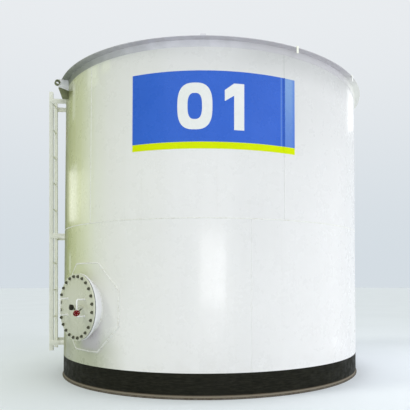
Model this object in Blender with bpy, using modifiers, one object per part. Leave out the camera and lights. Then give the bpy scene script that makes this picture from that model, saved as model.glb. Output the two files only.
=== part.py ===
# Vertical welded storage tank, built plate by plate.
#
# Sizes are metres, Z is up, the tank stands on Z = 0 and its axis is the Z axis.
# Azimuths are degrees about that axis: 0 faces -Y (the photographed side), and
# positive turns towards +X.

import math

import bmesh
import bpy
from mathutils import Matrix, Vector

GAP = 0.0003                    # clearance between pieces that touch
PLATE_GAP = 0.0006              # between the ends of two rolled plates

# Shell: two courses of 5 ft plate
TANK_RADIUS = 1.640             # outside of the plates
FACET = 3.0                     # degrees of arc per flat, shared by every rolled piece
SHELL_THICK = 0.006
BOTTOM_THICK = 0.009
BOTTOM_LIP = 0.010              # floor plate sticks out past the shell
COURSE_HEIGHT = 1.524
CURB_LEG = 0.0635               # equal angle, two and a half inches, at the top
CURB_THICK = 0.006
RIM_HEIGHT = 2 * COURSE_HEIGHT + 0.004
LOWER_SEAMS = (12.0, 132.0, 252.0)      # azimuths of the upright welds
UPPER_SEAMS = (-43.2, 22.8, 169.8)
CURB_SEAMS = (-67.2, 52.8, 172.8)

# Roof: a shallow cone of welded gores
ROOF_RADIUS = 1.668
ROOF_HOLE = 0.200
ROOF_RISE = 0.110
ROOF_THICK = 0.0045
ROOF_SEAM = -39.0
ROOF_GORES = 4
CROWN_RADIUS = 0.260
VENT_RADIUS = 0.045
VENT_WALL = 0.004
VENT_BEND = 0.085
VENT_FOOT = 3.120
VENT_RISE = 3.360
VENT_DROP = 0.060

# Shell manhole
MAN_AZIMUTH = -45.3
MAN_HEIGHT = 0.753
NECK_RADIUS = 0.254
NECK_THICK = 0.006
NECK_INNER_END = 1.600          # distance from the tank axis
FLANGE_RADIUS = 0.307
COVER_FACE = 0.102              # front of the cover, out from the shell
COVER_THICK = 0.016
COVER_CHAMFER = 0.0015
GASKET_THICK = 0.003
FLANGE_THICK = 0.018
PAD_HALF_WIDTH = 0.436
PAD_HALF_HEIGHT = 0.402
PAD_SIDE = 0.164                # half length of the upright edges
PAD_TOP = 0.186                 # half length of the level edges
PAD_THICK = 0.006
PAD_REACH = 21.0                # degrees of wall each side that the pad is cut from

# Two U handles of round bar on the cover
HANDLE_OFFSET = 0.150
HANDLE_HALF = 0.075
HANDLE_REACH = 0.077
HANDLE_BEND = 0.018
HANDLE_BAR = 0.0078

# Drain valve on the cover, beside the right handle, whose grip its stem passes over
VALVE_ASIDE = 0.105             # from the middle of the cover
VALVE_RAISED = 0.006
VALVE_TILT = -26.8              # the stem leans this far below level
VALVE_LIFT = 11.2               # and this far away from the cover
VALVE_AXIS_OUT = 0.0846         # the stem starts this far above the cover
BODY_LENGTH = 0.0989
PLUG_RADIUS = 0.029
PLUG_LENGTH = 0.015
WHEEL_REACH = 0.1078            # wheel centre along the stem from the valve axis
WHEEL_RADIUS = 0.0255
WHEEL_RIM = 0.005
WHEEL_WEB = 0.003               # thickness of the web inside the rim
WHEEL_HOLES = 5
WHEEL_HOLE_RADIUS = 0.0036
WHEEL_HOLE_CIRCLE = 0.0160
GRIP_BAR = 0.0060               # short bar let into the rim, to turn it by
GRIP_END = 0.0575
GRIP_ANGLE = 235.0
HUB_TAIL = 0.0335               # length of stem that turns with the wheel

# Ladder
LADDER_AZIMUTH = -83.5
LADDER_RADIUS = 1.771           # of the middle of the rails, at the floor
LADDER_LEAN = 0.56              # degrees that the ladder leans away from the wall
LADDER_WIDTH = 0.270
STILE_LEG = 0.040
STILE_THICK = 0.005
STILE_BOTTOM = 0.234
STILE_TOP = 3.076
RUNG_RADIUS = 0.0095
RUNG_STEP = 0.300
RUNG_DROP = 0.009               # the lowest rung is this much short of a step up
RUNG_COUNT = 10
RUNG_OUT = 0.005
BRACKET_LEVELS = (0.318, 1.483, 2.973)
BRACKET_HEIGHT = 0.052
BRACKET_THICK = 0.006

# Rim fittings
LIFTING_LUGS = (-64.0, 116.0)
LUG_THICK = 0.012
LUG_FOOT = 2.850
LUG_EYE_OUT = 0.107
LUG_EYE_HEIGHT = 3.003
LUG_BOSS_RADIUS = 0.026
LUG_EYE_RADIUS = 0.0175
LUG_BOSS_HALF = 0.024
SHELF_WALL = 2.940              # top of the sloping shelf at the wall and at its tip
SHELF_TIP = 2.962
SHELF_THICK = 0.008
SHELF_HALF = 0.022
RIM_CLEATS = ((-2.6, 0.024, 0.006, 0.010),      # azimuth, half width, below, above
              (26.1, 0.010, 0.055, 0.010),
              (55.6, 0.013, 0.055, 0.008))
CLEAT_THICK = 0.006
CLEAT_CORNER = 0.004

# Roof hatch near the ladder
HATCH_AZIMUTH = -84.0
HATCH_DISTANCE = 1.120
HATCH_RADIUS = 0.255
HATCH_WALL = 0.006
HATCH_FOOT = 3.060
HATCH_TOP = 3.300
LID_LIP = 0.022
LID_SKIRT = 0.040
LID_CROWN = 0.020


# Scene, materials and frames

def reset_scene():
    for ob in list(bpy.data.objects):
        bpy.data.objects.remove(ob, do_unlink=True)
    for pool in (bpy.data.meshes, bpy.data.curves, bpy.data.materials,
                 bpy.data.collections):
        for item in list(pool):
            pool.remove(item)


def make_collection(name):
    col = bpy.data.collections.new(name)
    bpy.context.scene.collection.children.link(col)
    return col


def make_material(name, colour, roughness, metallic):
    mat = bpy.data.materials.new(name)
    mat.use_nodes = True
    shader = mat.node_tree.nodes["Principled BSDF"]
    shader.inputs["Base Color"].default_value = (*colour, 1.0)
    shader.inputs["Roughness"].default_value = roughness
    shader.inputs["Metallic"].default_value = metallic
    return mat


def outward(azimuth):
    a = math.radians(azimuth)
    return Vector((math.sin(a), -math.cos(a), 0.0))


def axes_frame(x_axis, y_axis, z_axis, origin):
    m = Matrix((x_axis, y_axis, z_axis)).transposed().to_4x4()
    m.translation = origin
    return m


def wall_frame(azimuth, distance, height):
    """Local X runs sideways along the wall, Y up it and Z straight out."""
    out = outward(azimuth)
    up = Vector((0, 0, 1))
    return axes_frame(up.cross(out), up, out, out * distance + up * height)


def upright_frame(azimuth, distance, height):
    """Local X runs straight out, Y is up and Z runs along the wall."""
    out = outward(azimuth)
    up = Vector((0, 0, 1))
    return axes_frame(out, up, out.cross(up), out * distance + up * height)


# Ways of making shapes

def place(ob, col, mat, frame):
    for other in list(ob.users_collection):
        other.objects.unlink(ob)
    col.objects.link(ob)
    if mat:
        ob.data.materials.append(mat)
    ob.matrix_world = frame
    return ob


def shade_round(mesh):
    mesh.shade_smooth()
    mesh.set_sharp_from_angle(angle=math.radians(35))


def profile_object(name, points, closed, col, mat, frame):
    """A thin outline in local XZ, ready for a Screw modifier."""
    mesh = bpy.data.meshes.new(name)
    count = len(points)
    edges = [(i, i + 1) for i in range(count - 1)]
    if closed:
        edges.append((count - 1, 0))
    mesh.from_pydata([(x, 0.0, z) for x, z in points], edges, [])
    return place(bpy.data.objects.new(name, mesh), col, mat, frame)


def add_screw(ob, degrees, steps, merge):
    mod = ob.modifiers.new("turn", "SCREW")
    mod.axis = "Z"
    mod.angle = math.radians(degrees)
    mod.steps = steps
    mod.render_steps = steps
    mod.use_merge_vertices = merge
    mod.merge_threshold = 0.00005
    mod.use_smooth_shade = True
    return mod


def turned(name, points, closed, frame, col, mat, sides=48):
    """A full turn of an (r, z) outline that runs down its outer side."""
    ob = profile_object(name, points, closed, col, mat, frame)
    add_screw(ob, 360.0, sides, True)
    return bake(ob)


def rolled(name, points, start, stop, thick, col, mat, outwards=False):
    """Plate rolled about the tank axis: an open (r, z) line, turned and thickened."""
    turn = Matrix.Rotation(math.radians(start - 90.0), 4, "Z")
    ob = profile_object(name, points, False, col, mat, turn)
    add_screw(ob, stop - start, max(1, round((stop - start) / FACET)), False)
    wall = ob.modifiers.new("plate", "SOLIDIFY")
    wall.thickness = thick
    wall.offset = 1.0 if outwards else -1.0
    wall.use_even_offset = True
    return ob


def bake(ob):
    """Replace an object's modifiers by the mesh that they make."""
    bpy.context.view_layer.update()
    graph = bpy.context.evaluated_depsgraph_get()
    mesh = bpy.data.meshes.new_from_object(ob.evaluated_get(graph))
    ob.modifiers.clear()
    ob.data = mesh
    shade_round(mesh)
    return ob


def cylinder(name, radius, depth, sides, frame, col, mat):
    bpy.ops.mesh.primitive_cylinder_add(vertices=sides, radius=radius, depth=depth)
    ob = bpy.context.active_object
    ob.name = ob.data.name = name
    shade_round(ob.data)
    return place(ob, col, mat, frame)


def block(name, low, high, frame, col, mat):
    size = [b - a for a, b in zip(low, high)]
    middle = Vector([(a + b) / 2 for a, b in zip(low, high)])
    bpy.ops.mesh.primitive_cube_add(size=1.0)
    ob = bpy.context.active_object
    ob.name = ob.data.name = name
    ob.data.transform(Matrix.Diagonal((*size, 1.0)))
    return place(ob, col, mat, frame @ Matrix.Translation(middle))


def flat_curve(name, outline, thick, frame, col, mat):
    """A flat outline in local XY, its thickness centred on local Z = 0."""
    curve = bpy.data.curves.new(name, "CURVE")
    curve.dimensions = "2D"
    curve.fill_mode = "BOTH"
    curve.extrude = thick / 2
    line = curve.splines.new("POLY")
    line.points.add(len(outline) - 1)
    for point, (x, y) in zip(line.points, outline):
        point.co = (x, y, 0.0, 1.0)
    line.use_cyclic_u = True
    return place(bpy.data.objects.new(name, curve), col, mat, frame)


def bar_curve(name, points, radius, frame, col, mat, caps=True, rounding=2):
    """Round bar or pipe along a list of points."""
    curve = bpy.data.curves.new(name, "CURVE")
    curve.dimensions = "3D"
    curve.bevel_depth = radius
    curve.bevel_resolution = rounding
    curve.use_fill_caps = caps
    line = curve.splines.new("POLY")
    line.points.add(len(points) - 1)
    for point, p in zip(line.points, points):
        point.co = (*p, 1.0)
    line.use_smooth = True
    return place(bpy.data.objects.new(name, curve), col, mat, frame)


def curve_to_mesh(ob):
    """Turn a curve object into a mesh object with welded caps."""
    bpy.context.view_layer.update()
    graph = bpy.context.evaluated_depsgraph_get()
    mesh = bpy.data.meshes.new_from_object(ob.evaluated_get(graph))
    name, col, frame = ob.name, ob.users_collection[0], ob.matrix_world.copy()
    bpy.data.objects.remove(ob, do_unlink=True)
    bm = bmesh.new()
    bm.from_mesh(mesh)
    bmesh.ops.remove_doubles(bm, verts=bm.verts[:], dist=0.00001)
    bm.to_mesh(mesh)
    bm.free()
    mesh.name = name
    new = bpy.data.objects.new(name, mesh)
    col.objects.link(new)
    new.matrix_world = frame
    return new


def combine(target, other, operation, remove=True):
    """Cut or join with an exact Boolean and keep the result."""
    mod = target.modifiers.new(operation.lower(), "BOOLEAN")
    mod.operation = operation
    mod.solver = "EXACT"
    mod.object = other
    bake(target)
    if remove:
        bpy.data.objects.remove(other, do_unlink=True)
    return target


def make_cutter(ob):
    ob.hide_render = True
    ob.display_type = "WIRE"
    return ob


def bend(centre, start, end, radius, steps):
    """Points round a right-angled bend, from direction start to direction end."""
    return [centre + start * (radius * math.cos(math.pi / 2 * i / steps))
            + end * (radius * math.sin(math.pi / 2 * i / steps)) for i in range(steps + 1)]


# Shell

def arcs_between(seams):
    """The plates' arcs in degrees: each ends at its own seam and starts at the one before."""
    starts = (seams[-1] - 360.0,) + tuple(seams[:-1])
    return list(zip(starts, seams))


def build_shell(col, cutters, white, black):
    cylinder("bottom_plate", TANK_RADIUS + BOTTOM_LIP, BOTTOM_THICK, round(360 / FACET),
             Matrix.Translation((0, 0, BOTTOM_THICK / 2)), col, black)
    split = math.degrees(PLATE_GAP / 2 / TANK_RADIUS)
    floor, middle = BOTTOM_THICK + GAP, COURSE_HEIGHT
    top = RIM_HEIGHT - CURB_LEG
    courses = (("lower", floor, middle, LOWER_SEAMS), ("upper", middle + GAP, top, UPPER_SEAMS))
    plates = []
    for label, z0, z1, seams in courses:
        for i, (start, stop) in enumerate(arcs_between(seams)):
            plates.append(rolled("%s_shell_plate_%d" % (label, i + 1),
                                 [(TANK_RADIUS, z1), (TANK_RADIUS, z0)],
                                 start + split, stop - split, SHELL_THICK, col, white))
    bore = make_cutter(cylinder("manhole_bore_cutter", NECK_RADIUS + GAP, 0.24, 48,
                                wall_frame(MAN_AZIMUTH, TANK_RADIUS, MAN_HEIGHT), cutters, None))
    combine(plates[0], bore, "DIFFERENCE", remove=False)
    inner = TANK_RADIUS - CURB_THICK
    angle = [(TANK_RADIUS + CURB_LEG, RIM_HEIGHT), (inner, RIM_HEIGHT), (inner, top + GAP)]
    for i, (start, stop) in enumerate(arcs_between(CURB_SEAMS)):
        rolled("curb_angle_%d" % (i + 1), angle, start + split, stop - split,
               CURB_THICK, col, white, outwards=True)
    return bore


def build_roof(col, cutters, white):
    arc, split = 360.0 / ROOF_GORES, math.degrees(PLATE_GAP / 2 / TANK_RADIUS)
    z0 = RIM_HEIGHT + GAP
    gores = [rolled("roof_plate_%d" % (i + 1), [(ROOF_HOLE, z0 + ROOF_RISE), (ROOF_RADIUS, z0)],
                    ROOF_SEAM + arc * (i - 1) + split, ROOF_SEAM + arc * i - split,
                    ROOF_THICK, col, white, outwards=True) for i in range(ROOF_GORES)]
    base = outward(HATCH_AZIMUTH) * HATCH_DISTANCE
    hole = make_cutter(cylinder("hatch_bore_cutter", HATCH_RADIUS + GAP, 0.5, 48,
                                Matrix.Translation((base.x, base.y, RIM_HEIGHT + 0.1)),
                                cutters, None))
    combine(gores[0], hole, "DIFFERENCE", remove=False)
    r, foot, top = HATCH_RADIUS, HATCH_FOOT, HATCH_TOP
    turned("roof_hatch_neck", [(r, top), (r, foot), (r - HATCH_WALL, foot),
                               (r - HATCH_WALL, top)], True, Matrix.Translation(base), col, white)
    lid = r + LID_LIP
    turned("roof_hatch_lid", [(0, top + LID_CROWN), (lid, top + HATCH_WALL),
                              (lid, top - LID_SKIRT), (lid - HATCH_WALL, top - LID_SKIRT),
                              (lid - HATCH_WALL, top + GAP), (0, top + GAP)],
           False, Matrix.Translation(base), col, white)
    slope = ROOF_RISE / (ROOF_RADIUS - ROOF_HOLE)
    z1 = z0 + ROOF_RISE + ROOF_THICK + 2 * GAP
    edge = z1 - (CROWN_RADIUS - ROOF_HOLE) * slope
    hub = VENT_RADIUS + GAP
    turned("roof_crown_plate", [(hub, z1 + ROOF_THICK + 0.003), (ROOF_HOLE, z1 + ROOF_THICK),
                                (CROWN_RADIUS, edge + ROOF_THICK), (CROWN_RADIUS, edge),
                                (ROOF_HOLE, z1), (hub, z1 + 0.003)],
           True, Matrix.Identity(4), col, white, sides=round(360 / FACET))
    up, across = Vector((0, 0, 1)), Vector((0, 1, 0))
    turn_at = Vector((0, VENT_BEND, VENT_RISE))
    path = [Vector((0, 0, VENT_FOOT))]
    path += bend(turn_at, -across, up, VENT_BEND, 5) + bend(turn_at, up, across, VENT_BEND, 5)[1:]
    path.append(Vector((0, 2 * VENT_BEND, VENT_RISE - VENT_DROP)))
    vent = bar_curve("roof_vent_pipe", path, VENT_RADIUS, Matrix.Identity(4), col, white,
                     caps=False, rounding=3)
    wall = vent.modifiers.new("pipe_wall", "SOLIDIFY")
    wall.thickness = VENT_WALL
    wall.offset = -1.0


# Manhole

def build_manhole(col, white, rubber, bore):
    start = LOWER_SEAMS[0] + FACET * round((MAN_AZIMUTH - PAD_REACH - LOWER_SEAMS[0]) / FACET)
    pad = rolled("manhole_pad", [(TANK_RADIUS + GAP, MAN_HEIGHT + 0.6),
                                 (TANK_RADIUS + GAP, MAN_HEIGHT - 0.6)],
                 start, start + 2 * PAD_REACH, PAD_THICK, col, white, outwards=True)
    bake(pad)
    w, h, s, t = PAD_HALF_WIDTH, PAD_HALF_HEIGHT, PAD_SIDE, PAD_TOP
    octagon = [(w, -s), (w, s), (t, h), (-t, h), (-w, s), (-w, -s), (-t, -h), (t, -h)]
    stamp = curve_to_mesh(flat_curve("pad_stamp", octagon, 0.5,
                                     wall_frame(MAN_AZIMUTH, TANK_RADIUS, MAN_HEIGHT), col, None))
    combine(pad, stamp, "INTERSECT")
    combine(pad, bore, "DIFFERENCE", remove=False)

    front = TANK_RADIUS + COVER_FACE
    levels = {"cover": front - COVER_THICK}
    levels["gasket"] = levels["cover"] - GAP - GASKET_THICK
    levels["flange"] = levels["gasket"] - GAP - FLANGE_THICK
    bore_radius = NECK_RADIUS + GAP

    def ring(name, outer, inner, level, thick, mat):
        turned(name, [(outer, thick), (outer, 0), (inner, 0), (inner, thick)], True,
               wall_frame(MAN_AZIMUTH, level, MAN_HEIGHT), col, mat)

    ring("manhole_neck", NECK_RADIUS, NECK_RADIUS - NECK_THICK, NECK_INNER_END,
         levels["flange"] + FLANGE_THICK - 0.003 - NECK_INNER_END, white)
    ring("manhole_flange", FLANGE_RADIUS, bore_radius, levels["flange"], FLANGE_THICK, white)
    ring("manhole_gasket", FLANGE_RADIUS - 0.003, bore_radius + 0.004, levels["gasket"],
         GASKET_THICK, rubber)
    r, c = FLANGE_RADIUS, COVER_CHAMFER
    turned("manhole_cover", [(0, COVER_THICK), (r - c, COVER_THICK), (r, COVER_THICK - c),
                             (r, 0), (0, 0)], False,
           wall_frame(MAN_AZIMUTH, levels["cover"], MAN_HEIGHT), col, white)
    for side, label in ((-1, "left"), (1, "right")):
        frame = wall_frame(MAN_AZIMUTH, front + GAP, MAN_HEIGHT)
        x, r = side * HANDLE_OFFSET, HANDLE_BEND
        up, fwd = Vector((0, 1, 0)), Vector((0, 0, 1))
        path = [Vector((x, HANDLE_HALF, 0))]
        path += bend(Vector((x, HANDLE_HALF - r, HANDLE_REACH - r)), up, fwd, r, 3)
        path += bend(Vector((x, r - HANDLE_HALF, HANDLE_REACH - r)), fwd, -up, r, 3)
        path.append(Vector((x, -HANDLE_HALF, 0)))
        bar_curve("cover_handle_" + label, path, HANDLE_BAR, frame, col, white)


def valve_frames():
    """The valve's foot on the cover, with Z out, and its stem, with Z along it."""
    foot = (wall_frame(MAN_AZIMUTH, TANK_RADIUS + COVER_FACE + GAP, MAN_HEIGHT)
            @ Matrix.Translation((VALVE_ASIDE, VALVE_RAISED, 0.0)))
    sideways, up, out = (foot.col[i].to_3d() for i in range(3))
    tilt, lift = math.radians(VALVE_TILT), math.radians(VALVE_LIFT)
    along = sideways * math.cos(tilt) + up * math.sin(tilt)
    stem = along * math.cos(lift) + out * math.sin(lift)
    side = out * math.cos(lift) - along * math.sin(lift)
    return foot, axes_frame(side, stem.cross(side), stem, foot @ Vector((0, 0, VALVE_AXIS_OUT)))


def build_valve(col, brass, iron, red):
    base, stem = valve_frames()
    length = BODY_LENGTH
    body = turned("valve_body", [(0, length), (0.021, length), (0.024, length - 0.004),
                                 (0.024, length - 0.026), (0.020, length - 0.032),
                                 (0.0135, length - 0.034), (0.0135, 0.012), (0.018, 0.010),
                                 (0.018, 0), (0, 0)], False, base, col, brass, sides=24)
    end = WHEEL_REACH - HUB_TAIL - 0.0005
    bonnet = turned("valve_bonnet", [(0, end), (0.0105, end), (0.0105, 0.066), (0.007, 0.064),
                                     (0.007, 0.040), (0.0078, 0.038), (0.0078, 0), (0, 0)],
                    False, stem, col, None, sides=16)
    combine(body, bonnet, "UNION")
    turn = Matrix.Rotation(math.radians(30), 4, "Z")
    cylinder("valve_plug", PLUG_RADIUS, PLUG_LENGTH, 6,
             base @ Matrix.Translation((0, 0, BODY_LENGTH + GAP + PLUG_LENGTH / 2)) @ turn,
             col, iron)
    bpy.ops.mesh.primitive_torus_add(major_radius=WHEEL_RADIUS, minor_radius=WHEEL_RIM,
                                     major_segments=30, minor_segments=8)
    wheel = bpy.context.active_object
    wheel.name = wheel.data.name = "valve_handwheel"
    hub_frame = stem @ Matrix.Translation((0, 0, WHEEL_REACH))
    place(wheel, col, red, hub_frame)
    web = WHEEL_WEB / 2
    hub = turned("hub", [(0, 0.014), (0.006, 0.014), (0.006, 0.007), (0.011, 0.007),
                         (0.011, web), (WHEEL_RADIUS, web), (WHEEL_RADIUS, -web),
                         (0.011, -web), (0.011, -0.007), (0.005, -0.007),
                         (0.005, -HUB_TAIL), (0, -HUB_TAIL)],
                 False, hub_frame, col, None, sides=30)
    for k in range(WHEEL_HOLES):
        spin = Matrix.Rotation(2 * math.pi * k / WHEEL_HOLES, 4, "Z")
        spot = Matrix.Translation((WHEEL_HOLE_CIRCLE, 0, 0))
        hole = cylinder("hole", WHEEL_HOLE_RADIUS, 0.01, 12, hub_frame @ spin @ spot, col, None)
        combine(hub, hole, "DIFFERENCE")
    combine(wheel, hub, "UNION")
    spin = Matrix.Rotation(math.radians(GRIP_ANGLE), 4, "Z")
    lay = Matrix.Rotation(math.radians(90), 4, "Y")
    spot = Matrix.Translation(((WHEEL_RADIUS + GRIP_END) / 2, 0, 0))
    grip = cylinder("grip", GRIP_BAR, GRIP_END - WHEEL_RADIUS, 12, hub_frame @ spin @ spot @ lay,
                    col, None)
    combine(wheel, grip, "UNION")
    return hub_frame


# Ladder

def build_ladder(col, paint):
    out = outward(LADDER_AZIMUTH)
    lean = math.radians(LADDER_LEAN)
    sideways = Vector((0, 0, 1)).cross(out)
    up = Vector((0, 0, math.cos(lean))) + out * math.sin(lean)
    frame = axes_frame(sideways.cross(up), sideways, up, out * LADDER_RADIUS)
    half, leg, t = LADDER_WIDTH / 2, STILE_LEG / 2, STILE_THICK
    for side, label in ((1, "front"), (-1, "rear")):
        angle = [(-leg, half - 2 * leg), (-leg, half), (leg, half), (leg, half - t),
                 (t - leg, half - t), (t - leg, half - 2 * leg)]
        angle = [(x, side * y) for x, y in angle]
        if side > 0:
            angle.reverse()
        middle = Matrix.Translation((0, 0, (STILE_TOP + STILE_BOTTOM) / 2))
        stile = curve_to_mesh(flat_curve("ladder_stile_" + label, angle,
                                         STILE_TOP - STILE_BOTTOM, frame @ middle, col, paint))
        wall = math.sqrt(TANK_RADIUS ** 2 - half ** 2) + 3 * GAP
        for level in BRACKET_LEVELS:
            ends = sorted((side * (half - 0.001), side * (half + BRACKET_THICK)))
            near = wall - LADDER_RADIUS - level * math.sin(lean)
            arm = block("arm", (near, ends[0], level - BRACKET_HEIGHT / 2),
                        (leg - 0.002, ends[1], level + BRACKET_HEIGHT / 2), frame, col, None)
            combine(stile, arm, "UNION")
    length = LADDER_WIDTH - 2 * STILE_THICK - 2 * GAP
    across = Matrix.Rotation(math.radians(90), 4, "X")
    for i in range(RUNG_COUNT):
        spot = Matrix.Translation((RUNG_OUT, 0, RUNG_STEP * (i + 1) - RUNG_DROP))
        cylinder("ladder_rung_%02d" % (i + 1), RUNG_RADIUS, length, 12,
                 frame @ spot @ across, col, paint)


# Lugs on the rim

def build_lugs(col, paint):
    wall, edge = TANK_RADIUS + GAP, TANK_RADIUS + CURB_LEG + GAP
    under = RIM_HEIGHT - CURB_THICK - GAP
    tip = wall + 0.095
    outline = [(wall, under), (wall, LUG_FOOT), (wall + 0.058, LUG_FOOT), (tip, 2.948),
               (tip + 0.005, 3.020), (tip - 0.010, RIM_HEIGHT), (edge, RIM_HEIGHT),
               (edge, under)]
    slope = [(wall, SHELF_WALL), (wall, SHELF_WALL - SHELF_THICK),
             (tip, SHELF_TIP - SHELF_THICK), (tip, SHELF_TIP)]
    for i, azimuth in enumerate(LIFTING_LUGS):
        frame = upright_frame(azimuth, 0.0, 0.0)
        lug = curve_to_mesh(flat_curve("lifting_lug_%d" % (i + 1), outline, LUG_THICK,
                                       frame, col, paint))
        eye = frame @ Matrix.Translation((TANK_RADIUS + LUG_EYE_OUT, LUG_EYE_HEIGHT, 0))
        shelf = curve_to_mesh(flat_curve("shelf", slope, 2 * SHELF_HALF, frame, col, None))
        combine(lug, shelf, "UNION")
        combine(lug, cylinder("boss", LUG_BOSS_RADIUS, 2 * LUG_BOSS_HALF, 32, eye, col, None),
                "UNION")
        combine(lug, cylinder("eye", LUG_EYE_RADIUS, 0.1, 32, eye, col, None), "DIFFERENCE")
    c = CLEAT_CORNER
    for i, (azimuth, w, low, high) in enumerate(RIM_CLEATS):
        outline = [(-w, -low), (w, -low), (w, high - c), (w - c, high), (c - w, high),
                   (-w, high - c)]
        flat_curve("rim_cleat_%d" % (i + 1), outline, CLEAT_THICK,
                   wall_frame(azimuth, edge + CLEAT_THICK / 2, RIM_HEIGHT), col, paint)


def build_tank():
    reset_scene()
    tank = make_collection("storage_tank")
    cutters = make_collection("cutters")
    cutters.hide_render = True
    white = make_material("white_paint", (0.78, 0.80, 0.77), 0.35, 0.0)
    black = make_material("black_coating", (0.03, 0.03, 0.035), 0.7, 0.0)
    rubber = make_material("gasket_rubber", (0.04, 0.04, 0.04), 0.8, 0.0)
    iron = make_material("cast_iron", (0.08, 0.08, 0.075), 0.6, 0.8)
    brass = make_material("brass", (0.45, 0.36, 0.20), 0.45, 1.0)
    red = make_material("red_paint", (0.50, 0.02, 0.03), 0.4, 0.0)
    cream = make_material("cream_paint", (0.74, 0.75, 0.66), 0.45, 0.0)
    bore = build_shell(tank, cutters, white, black)
    build_roof(tank, cutters, white)
    build_manhole(tank, white, rubber, bore)
    pivot = build_valve(tank, brass, iron, red)
    build_ladder(tank, cream)
    build_lugs(tank, cream)
    print("handwheel pivot", [round(v, 6) for v in pivot.translation],
          "axis", [round(v, 6) for v in pivot.to_3x3().col[2]])
    print("pieces", len(tank.objects))


build_tank()
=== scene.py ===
# %% [markdown]
# # Dressing a welded storage tank
#
# The construction of this tank is already packed as a fixed model: flat facets, plain
# colours, every piece where it belongs. This lesson puts the finish on it. Each piece is
# made again with smooth curves, rounded edges, weld beads, bolts and worn paint, in the
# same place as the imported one, and then it is tied to the body that it rides on.
# Everything is in metres, Z is up, and the tank's axis is the Z axis.

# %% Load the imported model
import math

import bmesh
import bpy
from mathutils import Matrix, Vector


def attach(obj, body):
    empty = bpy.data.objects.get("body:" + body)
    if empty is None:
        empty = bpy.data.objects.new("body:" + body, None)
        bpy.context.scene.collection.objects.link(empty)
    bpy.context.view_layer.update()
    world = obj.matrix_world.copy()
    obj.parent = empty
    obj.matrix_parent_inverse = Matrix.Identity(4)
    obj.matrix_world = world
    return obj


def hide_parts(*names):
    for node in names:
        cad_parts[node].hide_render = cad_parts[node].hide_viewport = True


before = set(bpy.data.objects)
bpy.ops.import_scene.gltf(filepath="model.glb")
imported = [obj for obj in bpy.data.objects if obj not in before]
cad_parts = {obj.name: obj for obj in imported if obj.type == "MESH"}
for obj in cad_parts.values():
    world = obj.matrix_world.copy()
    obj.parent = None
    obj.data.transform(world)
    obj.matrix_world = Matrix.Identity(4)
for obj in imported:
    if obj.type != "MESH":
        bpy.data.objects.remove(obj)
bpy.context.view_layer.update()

# %% [markdown]
# ## The photographer's place
#
# The camera is set first, because it decides how much detail each piece needs. The tank
# was seen from the front, from a metre above the ground and less than six metres from its
# axis. A camera could be aimed by eye, but a fitted one is better: the foot, the rim, the
# level weld and both sides of the shell were matched, and that gave the height, the
# distance, a tilt of a degree and a half and a turn of three degrees. The small shift
# stands for a picture that was cropped off centre.

# %% Camera
CAMERA_DISTANCE = 5.689
CAMERA_HEIGHT = 1.000
CAMERA_TILT = 1.5
CAMERA_TURN = -2.95
CAMERA_SHIFT = (-0.0776, 0.1522)
LENS = 42.25

camera_data = bpy.data.cameras.new("photo_camera")
camera_data.sensor_width = 36.0
camera_data.lens = LENS
camera_data.shift_x, camera_data.shift_y = CAMERA_SHIFT
camera_data.clip_end = 200.0
camera = bpy.data.objects.new("photo_camera", camera_data)
bpy.context.scene.collection.objects.link(camera)
camera.location = (0.0, -CAMERA_DISTANCE, CAMERA_HEIGHT)
camera.rotation_euler = (math.radians(90 + CAMERA_TILT), 0.0, math.radians(CAMERA_TURN))
bpy.context.scene.camera = camera
print("camera", tuple(round(v, 3) for v in camera.location), "lens", LENS)

# %% [markdown]
# ## Sizes of the tank
#
# A tank like this is rolled from plates five feet wide, so two courses stand 3.05 m
# high. The same named sizes are used in the construction, and they are written here
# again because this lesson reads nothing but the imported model. Azimuths are degrees
# about the axis: 0 faces the camera, and positive turns to the right of the picture.

# %% Named sizes
TANK_RADIUS = 1.640
SHELL_THICK = 0.006
BOTTOM_THICK = 0.009
BOTTOM_LIP = 0.010
COURSE_HEIGHT = 1.524
RIM_HEIGHT = 2 * COURSE_HEIGHT + 0.004
CURB_LEG = 0.0635
CURB_THICK = 0.006
GAP = 0.0003                    # room left between two pieces that touch
BAND_TOP = 0.218
LOWER_SEAMS = (12.0, 132.0, 252.0)
UPPER_SEAMS = (-43.2, 22.8, 169.8)
CURB_SEAMS = (-67.2, 52.8, 172.8)

ROOF_RADIUS = 1.668
ROOF_HOLE = 0.200
ROOF_RISE = 0.110
ROOF_THICK = 0.0045
ROOF_SEAMS = (-129.0, -39.0, 51.0, 141.0)
CROWN_RADIUS = 0.260

MAN_AZIMUTH = -45.3
MAN_HEIGHT = 0.753
NECK_RADIUS = 0.254
NECK_THICK = 0.006
NECK_INNER_END = 1.600
FLANGE_RADIUS = 0.307
COVER_FACE = 0.102
COVER_THICK = 0.016
GASKET_THICK = 0.003
FLANGE_THICK = 0.018
PAD_HALF_WIDTH, PAD_HALF_HEIGHT = 0.436, 0.402
PAD_SIDE, PAD_TOP = 0.164, 0.186
PAD_THICK = 0.006

LADDER_AZIMUTH = -83.5
LADDER_RADIUS = 1.771
LADDER_LEAN = 0.56
LADDER_WIDTH = 0.270
HATCH_AZIMUTH = -84.0
HATCH_DISTANCE = 1.120
HATCH_RADIUS = 0.255
HATCH_TOP = 3.300
print("rim height", RIM_HEIGHT, "girth", round(2 * math.pi * TANK_RADIUS, 2))

# %% [markdown]
# ## Small tools for placing things
#
# A piece on a round wall is easiest to draw flat, and then set on the wall by a matrix.
# `wall_frame` gives a flat sheet that faces straight out at an azimuth, with X sideways
# and Y up. `upright_frame` gives a sheet that stands on edge against the wall, as a lug
# or a bracket does, with X pointing out.

# %% Frames on the wall
def outward(azimuth):
    a = math.radians(azimuth)
    return Vector((math.sin(a), -math.cos(a), 0.0))


def axes_frame(x_axis, y_axis, z_axis, origin):
    m = Matrix((x_axis, y_axis, z_axis)).transposed().to_4x4()
    m.translation = origin
    return m


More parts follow.
